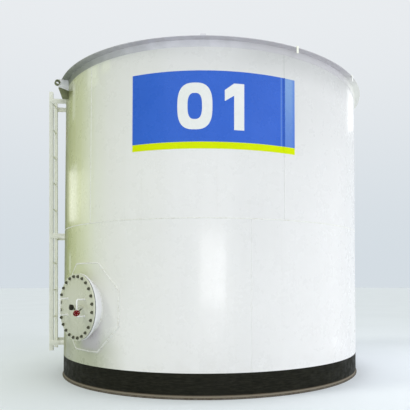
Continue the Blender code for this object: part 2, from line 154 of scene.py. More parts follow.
def wall_frame(azimuth, distance, height):
    out, up = outward(azimuth), Vector((0, 0, 1))
    return axes_frame(up.cross(out), up, out, out * distance + up * height)


def upright_frame(azimuth, distance=0.0, height=0.0):
    out, up = outward(azimuth), Vector((0, 0, 1))
    return axes_frame(out, up, out.cross(up), out * distance + up * height)


print("manhole faces", [round(v, 3) for v in outward(MAN_AZIMUTH)])

# %% [markdown]
# ## Small tools for making meshes
#
# Nearly every piece here is rolled, turned or cut from plate. Blender can make a turned
# piece with the Screw modifier or with Spin, but writing the rings in mesh code keeps
# the number of facets and the closed ends in hand. Real edges are never knife sharp, so
# `rounded` softens each corner of an outline before it is turned or cut. Curves and
# modifiers are used too, and `baked` turns what they make into a plain mesh.

# %% Outlines
def circle(radius, x=0.0, y=0.0, steps=24):
    return [(x + radius * math.cos(2 * math.pi * k / steps),
             y + radius * math.sin(2 * math.pi * k / steps)) for k in range(steps)]


def rounded(points, radius, steps=3, closed=True):
    """The same outline with each corner drawn as a short curve."""
    soft = []
    for i, corner in enumerate(points):
        p = Vector(corner)
        if not closed and i in (0, len(points) - 1):
            soft.append(tuple(p))
            continue
        before, after = Vector(points[i - 1]) - p, Vector(points[(i + 1) % len(points)]) - p
        r = min(radius, 0.45 * before.length, 0.45 * after.length)
        a, b = p + before.normalized() * r, p + after.normalized() * r
        for k in range(steps + 1):
            t = k / steps
            soft.append(tuple(a * (1 - t) ** 2 + p * 2 * t * (1 - t) + b * t * t))
    return soft


def bend(centre, start, end, radius, steps=8):
    """Points round a right-angled bend, from direction start to direction end."""
    return [centre + start * (radius * math.cos(math.pi / 2 * i / steps))
            + end * (radius * math.sin(math.pi / 2 * i / steps)) for i in range(steps + 1)]


print("a circle has", len(circle(1.0)), "points, an eased square",
      len(rounded([(0, 0), (1, 0), (1, 1), (0, 1)], 0.1)))

# %% Finishing a mesh
SHARP_CORNER, EASED_CORNER = math.radians(38), math.radians(40)


def shaded(bm, name):
    """The mesh of a bmesh, smooth on its round parts and sharp at its corners."""
    mesh = bpy.data.meshes.new(name)
    bm.to_mesh(mesh)
    bm.free()
    mesh.shade_smooth()
    mesh.set_sharp_from_angle(angle=SHARP_CORNER)
    return mesh


def finish_mesh(bm, name, place=None):
    """Merge doubles, turn the faces outwards and put the mesh in its place."""
    bmesh.ops.remove_doubles(bm, verts=bm.verts[:], dist=0.000005)
    bmesh.ops.recalc_face_normals(bm, faces=bm.faces[:])
    if place is not None:
        bmesh.ops.transform(bm, matrix=place, verts=bm.verts[:])
    return shaded(bm, name)


print("corners are sharp past", round(math.degrees(SHARP_CORNER)), "degrees")

# %% Turned pieces
def turned(name, outline, sides=96, closed=True, start=0.0, sweep=360.0, place=None):
    """Turn an (r, z) outline about Z. An open outline starts and ends on the axis."""
    bm = bmesh.new()
    full = sweep > 359.99
    rings = []
    for k in range(sides if full else sides + 1):
        out = outward(start + sweep * k / sides)
        rings.append([bm.verts.new((r * out.x, r * out.y, z)) for r, z in outline])
    spans = len(outline) if closed else len(outline) - 1
    for k in range(sides):
        a, b = rings[k], rings[(k + 1) % len(rings)]
        for i in range(spans):
            j = (i + 1) % len(outline)
            bm.faces.new((a[i], b[i], b[j], a[j]))
    if not full:
        bm.faces.new(rings[0])
        bm.faces.new(rings[-1])
    return finish_mesh(bm, name, place)


print("with 96 sides a circle is true to", round(1 - math.cos(math.pi / 96), 5),
      "of its radius")

# %% Cut plates
def cut_plate(name, outline, thick, place=None, edge=0.0008):
    """A flat plate cut to an outline in XY, with its edges eased."""
    bm = bmesh.new()
    low = [bm.verts.new((x, y, -thick / 2)) for x, y in outline]
    high = [bm.verts.new((x, y, thick / 2)) for x, y in outline]
    bm.faces.new(low)
    bm.faces.new(high)
    for i in range(len(outline)):
        j = (i + 1) % len(outline)
        bm.faces.new((low[i], low[j], high[j], high[i]))
    if edge:
        bmesh.ops.recalc_face_normals(bm, faces=bm.faces[:])
        sharp = [e for e in bm.edges if e.calc_face_angle(0) > EASED_CORNER]
        bmesh.ops.bevel(bm, geom=sharp, offset=edge, segments=2, profile=0.5,
                        affect="EDGES", clamp_overlap=True)
    return finish_mesh(bm, name, place)


def merge_meshes(name, meshes):
    """Several closed meshes kept as one piece."""
    bm = bmesh.new()
    for mesh in meshes:
        bm.from_mesh(mesh)
    return shaded(bm, name)


print("plates ease corners past", round(math.degrees(EASED_CORNER)), "degrees")

# %% Curves and modifiers
def baked(ob):
    """The plain mesh that an object's curve or modifiers make. The object itself goes."""
    bpy.context.scene.collection.objects.link(ob)
    bpy.context.view_layer.update()
    graph = bpy.context.evaluated_depsgraph_get()
    mesh = bpy.data.meshes.new_from_object(ob.evaluated_get(graph))
    bpy.data.objects.remove(ob, do_unlink=True)
    return mesh


def curve_mesh(name, curve, place=None):
    """The closed mesh of a curve."""
    bm = bmesh.new()
    bm.from_mesh(baked(bpy.data.objects.new(name, curve)))
    return finish_mesh(bm, name, place)


def bar(name, points, radius, sides=16, place=None):
    """Round bar along points, with its ends closed."""
    curve = bpy.data.curves.new(name, "CURVE")
    curve.dimensions = "3D"
    curve.bevel_depth = radius
    curve.bevel_resolution = max(1, sides // 4 - 1)
    curve.use_fill_caps = True
    line = curve.splines.new("POLY")
    line.points.add(len(points) - 1)
    for point, p in zip(line.points, points):
        point.co = (*p, 1.0)
    return curve_mesh(name, curve, place)


def filled(name, loops, thick, place=None):
    """A flat plate with holes: the first loop is its edge, the others are cut out."""
    curve = bpy.data.curves.new(name, "CURVE")
    curve.dimensions, curve.fill_mode, curve.extrude = "2D", "BOTH", thick / 2
    for points in loops:
        line = curve.splines.new("POLY")
        line.points.add(len(points) - 1)
        for point, (x, y) in zip(line.points, points):
            point.co = (x, y, 0.0, 1.0)
        line.use_cyclic_u = True
    return curve_mesh(name, curve, place)


print("a round bar is made from", len(bar("sample", [(0, 0, 0), (0, 0, 1)], 0.01).polygons),
      "faces")

# %% Holes
def bored(mesh, radius, depth, place):
    """Take a round hole out of a plate with an exact Boolean."""
    bore = turned("bore", [(0, depth), (radius, depth), (radius, -depth), (0, -depth)],
                  closed=False, place=place)
    cutter = bpy.data.objects.new("cutter", bore)
    bpy.context.scene.collection.objects.link(cutter)
    holder = bpy.data.objects.new("cut", mesh)
    step = holder.modifiers.new("cut", "BOOLEAN")
    step.operation, step.solver, step.object = "DIFFERENCE", "EXACT", cutter
    result = baked(holder)
    bpy.data.objects.remove(cutter, do_unlink=True)
    return result


print("hole cutter ready")

# %% [markdown]
# ## Putting a piece on its body
#
# `piece` makes the object, gives it its finishes, ties it to the body it rides on, and
# hides the imported nodes that it stands for.
# The object stays at the origin, because its place is already in its mesh.

# %% Piece
made = []


def piece(name, mesh, finishes, instead_of=(), body="tank"):
    """Give a mesh its finishes, tie it to its body and hide the nodes it stands for. Its faces
    are sorted by finish after.
    """
    ob = bpy.data.objects.new(name, mesh)
    bpy.context.scene.collection.objects.link(ob)
    mesh.materials.clear()
    for finish in finishes:
        mesh.materials.append(finish)
    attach(ob, body)
    if instead_of:
        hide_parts(*instead_of)
    made.append(ob)
    return ob


# %% [markdown]
# ## Finishes
#
# Paint on a tank is never one flat colour. It has broad tones from spraying, faint runs
# down the wall where rain has gone, a little grime low down, and small rust specks. All
# of that can be made from noise on the object's own coordinates, so no picture is
# needed and the pattern stays on the steel from every side. The helpers below keep each
# recipe short: `node` adds one node and feeds it, `Coat` starts a material and adds the
# usual nodes to it, and `Recipe` adds what belongs to a place. Its `right_side` and
# `left_side` give a finish that grows towards one side of the tank and fades out again at
# the back, so that nothing jumps there.

# %% One node with its inputs
def feed(tree, socket, value):
    """Link another node's output to a socket, or set the socket's own value."""
    if isinstance(value, bpy.types.NodeSocket):
        tree.links.new(value, socket)
    else:
        socket.default_value = value


def node(tree, kind, inputs=None, **settings):
    """Add a node to a tree, set its options and feed its inputs by name or number."""
    new = tree.nodes.new(kind)
    for key, value in settings.items():
        setattr(new, key, value)
    for key, value in (inputs or {}).items():
        feed(tree, new.inputs[key], value)
    return new


print("node helper ready")

# %% Nodes of a coat of paint
class Coat:
    """A material with short ways to add the nodes that every finish needs."""

    def __init__(self, name):
        self.mat = bpy.data.materials.new(name)
        self.mat.use_nodes = True
        self.tree = self.mat.node_tree
        self.shader = self.tree.nodes["Principled BSDF"]
        self.where = self.add("ShaderNodeTexCoord").outputs["Object"]
        self.height = None

    def add(self, kind, inputs=None, **settings):
        return node(self.tree, kind, inputs, **settings)

    def noise(self, scale, detail=4.0, rough=0.5, stretch=None):
        where = self.where
        if stretch:
            where = self.add("ShaderNodeMapping", {"Vector": where, "Scale": stretch}).outputs[0]
        return self.add("ShaderNodeTexNoise", {"Vector": where, "Scale": scale, "Detail": detail,
                                               "Roughness": rough}).outputs["Fac"]

    def axis(self, letter):
        return self.add("ShaderNodeSeparateXYZ", {"Vector": self.where}).outputs[letter]

    def math(self, operation, a, b=0.0):
        return self.add("ShaderNodeMath", {0: a, 1: b}, operation=operation).outputs["Value"]

    def fade(self, value, low, high, start=0.0, end=1.0):
        """Smooth step of a value from start at low to end at high."""
        return self.add("ShaderNodeMapRange", {"Value": value, "From Min": low, "From Max": high,
                                               "To Min": start, "To Max": end},
                        interpolation_type="SMOOTHSTEP").outputs["Result"]

    def ramp(self, value, stops):
        """The colour at a value from 0 to 1, blended evenly from stop to stop."""
        chosen = self.add("ShaderNodeValToRGB", {"Fac": value})
        elements = chosen.color_ramp.elements
        elements.remove(elements[1])
        for i, (place, colour) in enumerate(stops):
            element = elements[0] if i == 0 else elements.new(place)
            element.position, element.color = place, (*colour, 1.0)
        return chosen.outputs["Color"]

    def mix(self, amount, a, b, blend="MIX"):
        """Mix two colours. Inputs 6 and 7 and output 2 are the node's colour sockets."""
        a, b = ((*c, 1.0) if isinstance(c, tuple) else c for c in (a, b))
        return self.add("ShaderNodeMix", {"Factor": amount, 6: a, 7: b}, data_type="RGBA",
                        blend_type=blend).outputs[2]


print("paint nodes ready")

# %% Recipe for a procedural finish
BACK_RIGHT, BACK_LEFT = (110.0, 170.0), (-165.0, -120.0)


class Recipe(Coat):
    """A coat that can change from place to place round the tank, with its bumps."""

    def azimuth(self):
        """Degrees round the tank's axis, 0 at the front."""
        angle = self.math("ARCTAN2", self.axis("X"), self.math("MULTIPLY", self.axis("Y"), -1.0))
        return self.math("MULTIPLY", angle, 180.0 / math.pi)

    def right_side(self, low, high, least=0.0, most=1.0):
        """From least at azimuth low to most at high, and back to least behind the tank."""
        azimuth = self.azimuth()
        return self.math("MINIMUM", self.fade(azimuth, low, high, least, most),
                         self.fade(azimuth, *BACK_RIGHT, most, least))

    def left_side(self, low, high):
        """From 1 at azimuth low to 0 at high, and 0 again behind the tank."""
        azimuth = self.azimuth()
        return self.math("MINIMUM", self.fade(azimuth, low, high, 1.0, 0.0),
                         self.fade(azimuth, *BACK_LEFT))

    def stripe(self, value, middle, full, none, amount):
        """The amount within full of the middle, fading to 0 at none away from it."""
        away = self.math("ABSOLUTE", self.math("SUBTRACT", value, middle))
        return self.fade(away, full, none, amount, 0.0)

    def bump(self, value, strength, distance):
        inputs = {"Strength": strength, "Distance": distance, "Height": value}
        if self.height is not None:
            inputs["Normal"] = self.height
        self.height = self.add("ShaderNodeBump", inputs).outputs["Normal"]

    def done(self, colour, roughness, **others):
        """Feed the shader. Other inputs are named in small letters with underscores."""
        values = {"Base Color": colour, "Roughness": roughness}
        for key, value in others.items():
            values[key.replace("_", " ").title().replace("Ior", "IOR")] = value
        if self.height is not None:
            values["Normal"] = self.height
        for key, value in values.items():
            feed(self.tree, self.shader.inputs[key], value)
        return self.mat


print("recipes ready")

# %% [markdown]
# ### White shell paint
#
# The shell is a gloss white that has been outdoors for some years. Broad clouds of tone
# come from a large noise. Rain runs come from a noise that is stretched along Z. Low on
# the wall the white greys a little, and pinhead rust shows where a small noise peaks.
# Two bumps give it depth: a long swell, because rolled plate is never quite true, and
# the fine orange peel of sprayed enamel.
#
# Light isn't the same all round, and some of it is painted into the colour. A row of
# tones by azimuth is painted shade and painted reflection: the side at the left of the
# picture is painted darker and green, as green surroundings mirrored there would make it,
# and the front and right are evened out. Three zones by height are painted shade that
# greys the wall towards the rim, more so at the right. A few marks stand for single
# places: painted highlights where bright lanes are mirrored, painted shade under the lug
# and low on the left, the painted shadow of the cover, and one real rust streak. At the
# far left the paint has lost its gloss.

# %% Painted shade and light on the shell
# Tones by azimuth: painted shade and a painted green reflection at the left, and painted light
# that evens out the front and right.
ROUND_SHADE_TONES = ((-180, (0.92, 0.92, 0.90)), (-115, (0.72, 0.75, 0.52)), (-68, (0.18, 0.20, 0.03)),
               (-64, (0.33, 0.36, 0.10)), (-60, (0.53, 0.565, 0.23)), (-56, (0.67, 0.70, 0.37)),
               (-50, (0.79, 0.82, 0.53)), (-44, (0.90, 0.92, 0.73)), (-41, (0.93, 0.94, 0.83)),
               (-34, (0.965, 0.955, 0.92)), (-26, (0.965, 0.955, 0.945)),
               (-10, (0.935, 0.92, 0.925)),
               (0, (0.925, 0.91, 0.915)), (20, (0.95, 0.935, 0.94)), (46, (0.95, 0.935, 0.94)),
               (56, (0.92, 0.905, 0.91)), (64, (0.98, 0.965, 0.97)), (73, (0.98, 0.965, 0.97)),
               (90, (0.74, 0.73, 0.725)), (130, (0.84, 0.835, 0.82)), (180, (0.92, 0.92, 0.90)))
# Zones by height of painted shade, greying the wall towards the rim, more at the right.
SHADE_ZONES_BY_HEIGHT = ((0.70, 1.90, 0.0, 20.0, 0.0, 0.20), (1.80, 2.75, -40.0, 20.0, 0.12, 0.27),
              (2.72, 3.00, 0.0, 18.0, 0.12, 0.80))
# Tones of the marks: a painted highlight, a painted olive shade, and real rust.
PAINTED_HIGHLIGHT, PAINTED_OLIVE_SHADE, RUSTY = (0.84, 0.85, 0.72), (0.20, 0.21, 0.09), (0.50, 0.33, 0.16)
# The painted shadow of the manhole cover, purple-grey.
COVER_SHADOW_TONE = (0.59, 0.53, 0.63)
# Marks: painted highlights of mirrored bright lanes, painted shade under the lug shelf and low on
# the left, the painted shadow of the cover, and one real rust streak.
RUST_AND_PAINTED_LIGHT_MARKS = ((-56.0, 5.2, 1.56, 2.12, 0.45, PAINTED_HIGHLIGHT), (-56.0, 2.2, 2.58, 2.94, 0.50, PAINTED_HIGHLIGHT),
               (-59.0, 2.0, 1.07, 1.27, 0.60, PAINTED_HIGHLIGHT), (-42.5, 4.0, 2.80, 3.00, 0.70, PAINTED_HIGHLIGHT),
               (-36.0, 3.0, 2.88, 3.00, 0.50, PAINTED_HIGHLIGHT), (-60.5, 4.6, 2.85, 2.94, 0.85, PAINTED_OLIVE_SHADE),
               (-70.0, 2.0, 2.45, 2.62, 0.50, RUSTY), (-66.0, 14.0, 0.10, 0.42, 0.60, PAINTED_OLIVE_SHADE),
               (-42.5, 7.5, 0.36, 0.64, 0.55, COVER_SHADOW_TONE))
print("tones round the shell", len(ROUND_SHADE_TONES), "marks", len(RUST_AND_PAINTED_LIGHT_MARKS))

# %% Painted shade, light and weather laid over the paint
def painted_light_and_weather(r, colour, base, grime):
    """Painted shade and light by place on the shell, at the left, under the rim and at the foot,
    with real splashes and a rust streak.
    """
    round_it, level = r.azimuth(), r.axis("Z")
    # painted shade and painted reflection, by azimuth
    tones = r.ramp(r.math("DIVIDE", r.math("ADD", round_it, 180.0), 360.0),
                   [((a + 180.0) / 360.0, c) for a, c in ROUND_SHADE_TONES])
    uneven = r.fade(r.noise(1.0, 5.0, 0.60, stretch=(11.0, 11.0, 0.40)), 0.30, 0.70, 0.82, 1.0)
    colour = r.mix(uneven, colour, tones, "MULTIPLY")
    # painted shade, darker towards the rim
    for low, high, left, right, least, most in SHADE_ZONES_BY_HEIGHT:
        grey = r.math("MULTIPLY", r.fade(level, low, high),
                      r.right_side(left, right, least, most))
        colour = r.mix(grey, colour, tuple(c * 0.60 for c in base))
    # painted shade low on the left, under and beside the manhole
    foot = r.math("MULTIPLY", r.fade(level, 0.34, 0.60, 0.85, 0.0), r.left_side(-43.0, -25.0))
    colour = r.mix(foot, colour, (0.37, 0.39, 0.27))
    splash = r.math("MULTIPLY", r.fade(level, 0.22, 0.50, 1.0, 0.0),
                    r.fade(r.noise(7.0, 6.0, 0.65), 0.42, 0.72))
    colour = r.mix(r.math("MULTIPLY", splash, 0.12), colour, grime)
    # painted highlights, painted shade and shadow, and a rust streak, one mark at a time
    for middle, wide, low, high, amount, tone in RUST_AND_PAINTED_LIGHT_MARKS:
        across = r.stripe(round_it, middle, wide * 0.35, wide, amount)
        along = r.math("MULTIPLY", r.fade(level, low - 0.04, low + 0.04),
                       r.fade(level, high - 0.05, high + 0.05, 1.0, 0.0))
        colour = r.mix(r.math("MULTIPLY", across, along), colour, tone)
    return colour


print("zones by height", len(SHADE_ZONES_BY_HEIGHT))

# %% White enamel
def white_enamel(name, base, grime, runs=0.05, swell=0.0012, shell=False, low=None):
    r = Recipe(name)
    clouds = r.fade(r.noise(1.1, 3.0, 0.55), 0.35, 0.68)
    colour = r.mix(clouds, base, tuple(c * 0.975 for c in base))
    rain = r.fade(r.noise(1.0, 5.0, 0.62, stretch=(16.0, 16.0, 0.55)), 0.55, 0.80)
    colour = r.mix(r.math("MULTIPLY", rain, runs * 3), colour, grime)
    if shell:
        colour = painted_light_and_weather(r, colour, base, grime)
    # low: the lower part is painted darker and greener, as painted shade
    if low:
        colour = r.mix(r.fade(r.axis("Z"), 0.55, 0.80, 0.6, 0.0), colour, low)
    specks = r.fade(r.noise(85.0, 2.0, 0.5), 0.775, 0.81)
    patch = r.fade(r.noise(2.3, 2.0, 0.5), 0.56, 0.70)
    colour = r.mix(r.math("MULTIPLY", r.math("MULTIPLY", specks, patch), 0.45),
                   colour, (0.30, 0.17, 0.075))
    rough = r.fade(r.noise(5.0, 7.0, 0.68), 0.3, 0.75, 0.24, 0.36)
    r.bump(r.noise(2.6, 2.0, 0.4), 0.55, swell)
    r.bump(r.noise(240.0, 2.0, 0.5), 0.10, 0.0004)
    gloss, shine = 0.35, 0.5
    if shell:
        clean = r.math("MAXIMUM", r.fade(r.azimuth(), -66.5, -61.5),
                       r.fade(r.azimuth(), -120.0, -90.0, 1.0, 0.0))
        gloss, shine = r.math("MULTIPLY", clean, gloss), r.fade(clean, 0.0, 1.0, 0.08, shine)
    return r.done(colour, rough, coat_weight=gloss, coat_roughness=0.10, coat_ior=1.5,
                  specular_ior_level=shine)


print("enamel recipe ready")

# %% The white finishes
shell_white = white_enamel("shell_white_enamel", (0.84, 0.84, 0.83), (0.50, 0.48, 0.41),
                           runs=0.03, swell=0.0008, shell=True)
# The cover's lower part takes a darker, greener painted shade.
fitting_white = white_enamel("manhole_white_enamel", (0.635, 0.64, 0.52), (0.38, 0.39, 0.27),
                             runs=0.06, swell=0.0003, low=(0.47, 0.48, 0.36))
neck_white = white_enamel("neck_white_enamel", (0.86, 0.86, 0.87), (0.56, 0.55, 0.50),
                          runs=0.04, swell=0.0003)
bow_white = white_enamel("handle_white_enamel", (0.85, 0.85, 0.82), (0.55, 0.53, 0.45),
                         runs=0.05, swell=0.0001)
ladder_cream = white_enamel("ladder_cream_enamel", (0.88, 0.88, 0.77), (0.34, 0.33, 0.27),
                            runs=0.09, swell=0.0002)
roof_white = white_enamel("roof_dusty_enamel", (0.72, 0.73, 0.70), (0.40, 0.38, 0.32),
                          runs=0.10, swell=0.0016)
print("white finishes", shell_white.name, fitting_white.name, ladder_cream.name, roof_white.name)

# %% [markdown]
# ### Painted shade under the rim
#
# The underside of the rim angle looks down and lies in shade, and its colour is a
# painted shade: a dull grey with a violet tinge. Towards the left it is painted darker and
# greener, as painted shade with a painted green reflection, and at the far right it is
# painted lighter, nearly white. The same recipe with paler tones paints the shade on the
# leg of the angle.

# %% Painted shade of the rim
def rim_finish(name, front, dull, shaded_green, right):
    """Painted shade: grey in front, darker and greener round to the left, lighter at the right.
    """
    r = Recipe(name)
    grey = r.mix(r.fade(r.noise(9.0, 5.0, 0.6), 0.32, 0.70), front, dull)
    # Painted light: lighter towards the right, nearly white at the far right.
    grey = r.mix(r.right_side(-5.0, 20.0), grey, right)
    grey = r.mix(r.right_side(47.0, 67.0), grey, (0.74, 0.74, 0.705))
    # Painted shade with a painted green reflection, towards the left.
    green = r.mix(r.fade(r.noise(14.0, 5.0, 0.65), 0.35, 0.65), shaded_green,
                  tuple(c * 1.25 for c in shaded_green))
    colour = r.mix(r.left_side(-66.0, -12.0), grey, green)
    r.bump(r.noise(160.0, 3.0, 0.6), 0.3, 0.0006)
    return r.done(colour, r.fade(r.noise(30.0, 4.0, 0.6), 0.3, 0.7, 0.55, 0.80))


rim_underside_shade = rim_finish("rim_underside_painted_shade", (0.53, 0.51, 0.55), (0.45, 0.43, 0.46),
                       (0.21, 0.225, 0.18), (0.47, 0.45, 0.475))
rim_leg_shade = rim_finish("rim_leg_painted_shade", (0.70, 0.685, 0.73), (0.61, 0.60, 0.64),
                      (0.22, 0.235, 0.18), (0.545, 0.53, 0.55))
print("rim finish", rim_underside_shade.name)

# %% [markdown]
# ### Weld metal under paint
#
# A weld is painted with the wall it joins, but its ripples keep a little dirt, and the
# film is thin on their crests. A noise at the size of the ripples mixes a darker tone
# and a trace of rust into the same white. At the right the upright welds can't be told
# from the wall, so they take the shell's own finish.

# %% Painted weld
def painted_weld(name, base, dirt):
    r = Recipe(name)
    colour = r.mix(r.fade(r.noise(60.0, 4.0, 0.6), 0.40, 0.75), base, dirt)
    rust = r.fade(r.noise(14.0, 5.0, 0.7), 0.66, 0.78)
    colour = r.mix(r.math("MULTIPLY", rust, 0.5), colour, (0.28, 0.15, 0.07))
    rough = r.fade(r.noise(35.0, 4.0, 0.6), 0.3, 0.7, 0.32, 0.58)
    r.bump(r.noise(400.0, 2.0, 0.5), 0.25, 0.0006)
    return r.done(colour, rough, coat_weight=0.15, coat_roughness=0.2)


weld_white = painted_weld("weld_white_enamel", (0.84, 0.84, 0.80), (0.63, 0.61, 0.54))
print("weld finish", weld_white.name)

# %% [markdown]
# ### Black foot coating
#
# The bottom seventh of the lower course is brushed with a black bitumen coating. It is
# matt, it has brush marks round the tank, and dust settles on it. At the very foot the
# steel edge rusts through, and rain splashes a narrow strip of pale mud onto it.

# %% Bitumen
def bitumen(name):
    r = Recipe(name)
    brush = r.noise(1.0, 6.0, 0.6, stretch=(14.0, 14.0, 130.0))
    colour = r.mix(r.fade(brush, 0.35, 0.7), (0.008, 0.008, 0.0055), (0.020, 0.0195, 0.013))
    dust = r.fade(r.noise(11.0, 6.0, 0.68), 0.50, 0.80)
    colour = r.mix(r.math("MULTIPLY", dust, 0.18), colour, (0.060, 0.057, 0.040))
    edge = r.fade(r.axis("Z"), 0.010, 0.045, 1.0, 0.0)
    rust = r.math("MULTIPLY", edge, r.fade(r.noise(26.0, 6.0, 0.7), 0.36, 0.60))
    colour = r.mix(r.math("MULTIPLY", rust, 0.9), colour, (0.105, 0.055, 0.026))
    splashed = r.fade(r.axis("Z"), 0.023, 0.038, 0.90, 0.0)
    colour = r.mix(splashed, colour, (0.27, 0.235, 0.18))
    rough = r.fade(r.noise(18.0, 5.0, 0.6), 0.3, 0.7, 0.46, 0.72)
    r.bump(brush, 0.30, 0.0010)
    r.bump(r.noise(120.0, 3.0, 0.6), 0.30, 0.0008)
    return r.done(colour, rough, coat_weight=0.0, specular_ior_level=0.09)


foot_black = bitumen("foot_bitumen_black")
print("foot finish", foot_black.name)

# %% [markdown]
# ### Rusted bottom edge
#
# The floor plate sticks out ten millimetres past the shell, and its cut edge stands in
# the wet. Brown rust, darker scale and grey dust are mixed by two noises. The fillet
# weld on the plate has rusted with it.

# %% Rusty plate edge
def rusty_edge(name):
    r = Recipe(name)
    scale = r.fade(r.noise(38.0, 7.0, 0.7), 0.38, 0.66)
    colour = r.mix(scale, (0.13, 0.112, 0.088), (0.075, 0.060, 0.042))
    dust = r.fade(r.noise(9.0, 5.0, 0.65), 0.45, 0.70)
    colour = r.mix(r.math("MULTIPLY", dust, 0.55), colour, (0.16, 0.145, 0.125))
    rough = r.fade(scale, 0.0, 1.0, 0.70, 0.92)
    r.bump(r.noise(90.0, 6.0, 0.7), 0.7, 0.0015)
    return r.done(colour, rough)


rust_brown = rusty_edge("rusted_plate_edge")
print("edge finish", rust_brown.name)

# %% [markdown]
# ### Metals, rubber and enamel of the fittings
#
# Small parts are only a few pixels across in the picture, but their contrast makes the
# manhole read: dull dark bolts, a black joint, a bronze and beige valve, an iron plug and
# a red wheel. One recipe makes them all, and each gets its own grain: the castings a
# pitted bump, the bolts a dull zinc cloud, the wheel chipped enamel. The same recipe makes
# the olive painted shade that the lifting lugs carry under their shelf and on their eye.

# %% Small metals
def worn_metal(name, dark, light, metallic, rough_low, rough_high, grain, pits, wear=0.0,
               shine=0.5):
    r = Recipe(name)
    cloud = r.fade(r.noise(grain, 5.0, 0.65), 0.33, 0.70)
    colour = r.mix(cloud, dark, light)
    if wear:
        chips = r.fade(r.noise(grain * 2.2, 6.0, 0.7), 0.64, 0.70)
        colour = r.mix(r.math("MULTIPLY", chips, wear), colour, (0.16, 0.085, 0.045))
    rough = r.fade(r.noise(grain * 0.7, 4.0, 0.6), 0.3, 0.7, rough_low, rough_high)
    r.bump(r.noise(grain * 6.0, 3.0, 0.6), 0.4, pits)
    return r.done(colour, rough, metallic=metallic, specular_ior_level=shine)


bolt_dark = worn_metal("bolt_dull_zinc", (0.060, 0.062, 0.036), (0.130, 0.125, 0.085),
                       0.35, 0.42, 0.65, 90.0, 0.0003)
plug_iron = worn_metal("plug_cast_iron", (0.012, 0.011, 0.006), (0.034, 0.030, 0.018),
                       0.20, 0.50, 0.75, 80.0, 0.0006, shine=0.25)
valve_bronze = worn_metal("valve_bronze", (0.10, 0.115, 0.08), (0.17, 0.19, 0.13),
                          0.25, 0.40, 0.62, 70.0, 0.0005)
bonnet_beige = worn_metal("bonnet_beige", (0.46, 0.33, 0.22), (0.60, 0.46, 0.33),
                          0.10, 0.35, 0.55, 70.0, 0.0004)
wheel_red = worn_metal("handwheel_red_enamel", (0.10, 0.001, 0.003), (0.25, 0.004, 0.009),
                       0.0, 0.30, 0.48, 60.0, 0.0003, wear=0.3, shine=0.15)
joint_rubber = worn_metal("joint_black_rubber", (0.012, 0.012, 0.012), (0.035, 0.034, 0.032),
                          0.0, 0.65, 0.85, 50.0, 0.0004)
lug_painted_shade = worn_metal("lug_olive_painted_shade", (0.14, 0.155, 0.075), (0.22, 0.23, 0.125),
                       0.0, 0.55, 0.80, 30.0, 0.0005)
print("small finishes", bolt_dark.name, valve_bronze.name, wheel_red.name)

# %% [markdown]
# ### Coloured film on the shell
#
# The blue field and the lime stripe are adhesive film, laid on the painted shell. Film
# is smoother than the paint round it. It shows the shell's swell, tiny trapped bubbles,
# and uneven fading. Beside the upright weld that it crosses a painted highlight line and
# a painted shadow line stand along the bead, and past it the film carries a painted
# reflection that makes it paler, so its colour is lifted by the azimuth, read from the
# object's own coordinates.

# %% Film
PANEL_LEFT, PANEL_RIGHT = -25.06, 26.58
BLUE_LOW, BLUE_HIGH = 2.171, 2.780
LIME_LOW = 2.112
KINK_AZIMUTH = 22.8


def vinyl(name, base, faded, gloss, shine, reflected_tone=None):
    r = Recipe(name)
    colour = r.mix(r.fade(r.noise(2.2, 4.0, 0.6), 0.35, 0.70), base, faded)
    # painted reflection past the weld, with a painted highlight line and a painted shadow line
    # beside the bead
    if reflected_tone:
        azimuth = r.azimuth()
        past = r.fade(azimuth, KINK_AZIMUTH, KINK_AZIMUTH + 0.35)
        high = r.fade(r.axis("Z"), BLUE_LOW, BLUE_HIGH, 0.45, 1.0)
        end = r.fade(azimuth, KINK_AZIMUTH + 2.2, PANEL_RIGHT, 1.0, 0.55)
        lift = r.math("MULTIPLY", r.math("MULTIPLY", past, high), end)
        colour = r.mix(lift, colour, reflected_tone)
        for middle, width, tone in ((KINK_AZIMUTH - 1.1, 0.40, reflected_tone),
                                    (KINK_AZIMUTH - 0.25, 0.45, tuple(c * 0.6 for c in base))):
            colour = r.mix(r.stripe(azimuth, middle, 0.0, width, 0.45), colour, tone)
    rough = r.fade(r.noise(9.0, 5.0, 0.6), 0.3, 0.7, 0.22, 0.34)
    r.bump(r.noise(2.6, 2.0, 0.4), 0.55, 0.0012)
    r.bump(r.fade(r.noise(55.0, 1.0, 0.4), 0.70, 0.80), 0.20, 0.0006)
    return r.done(colour, rough, coat_weight=gloss, coat_roughness=0.12,
                  specular_ior_level=shine)


film_blue = vinyl("film_blue", (0.026, 0.115, 0.560), (0.033, 0.128, 0.590), 0.12, 0.27,
                  reflected_tone=(0.195, 0.335, 0.63))
film_lime = vinyl("film_lime", (0.62, 0.74, 0.002), (0.66, 0.77, 0.005), 0.0, 0.02)
film_white = vinyl("film_white", (0.80, 0.80, 0.79), (0.77, 0.78, 0.76), 0.15, 0.30)
print("films", film_blue.name, film_lime.name, film_white.name)

# %% [markdown]
# ## Geometry Nodes tree for a weld bead
#
# A weld follows a path and repeats: a hand weld lays one crescent of metal over the
# next, a few millimetres apart. Modelling every crescent would be slow, and a bump map
# vanishes at the edge of the piece. A Geometry Nodes tree does it well: the path is
# resampled to a third of the ripple pitch, the radius swells and falls over each three
# samples with a little seeded noise, and a small circle is swept along it. Half of the
# bead lies in the steel, as a real fillet does.

# %% Helpers for node trees
def socket_named(tree, name):
    for item in tree.interface.items_tree:
        if item.item_type == "SOCKET" and item.in_out == "INPUT" and item.name == name:
            return item.identifier
    raise ValueError(name)


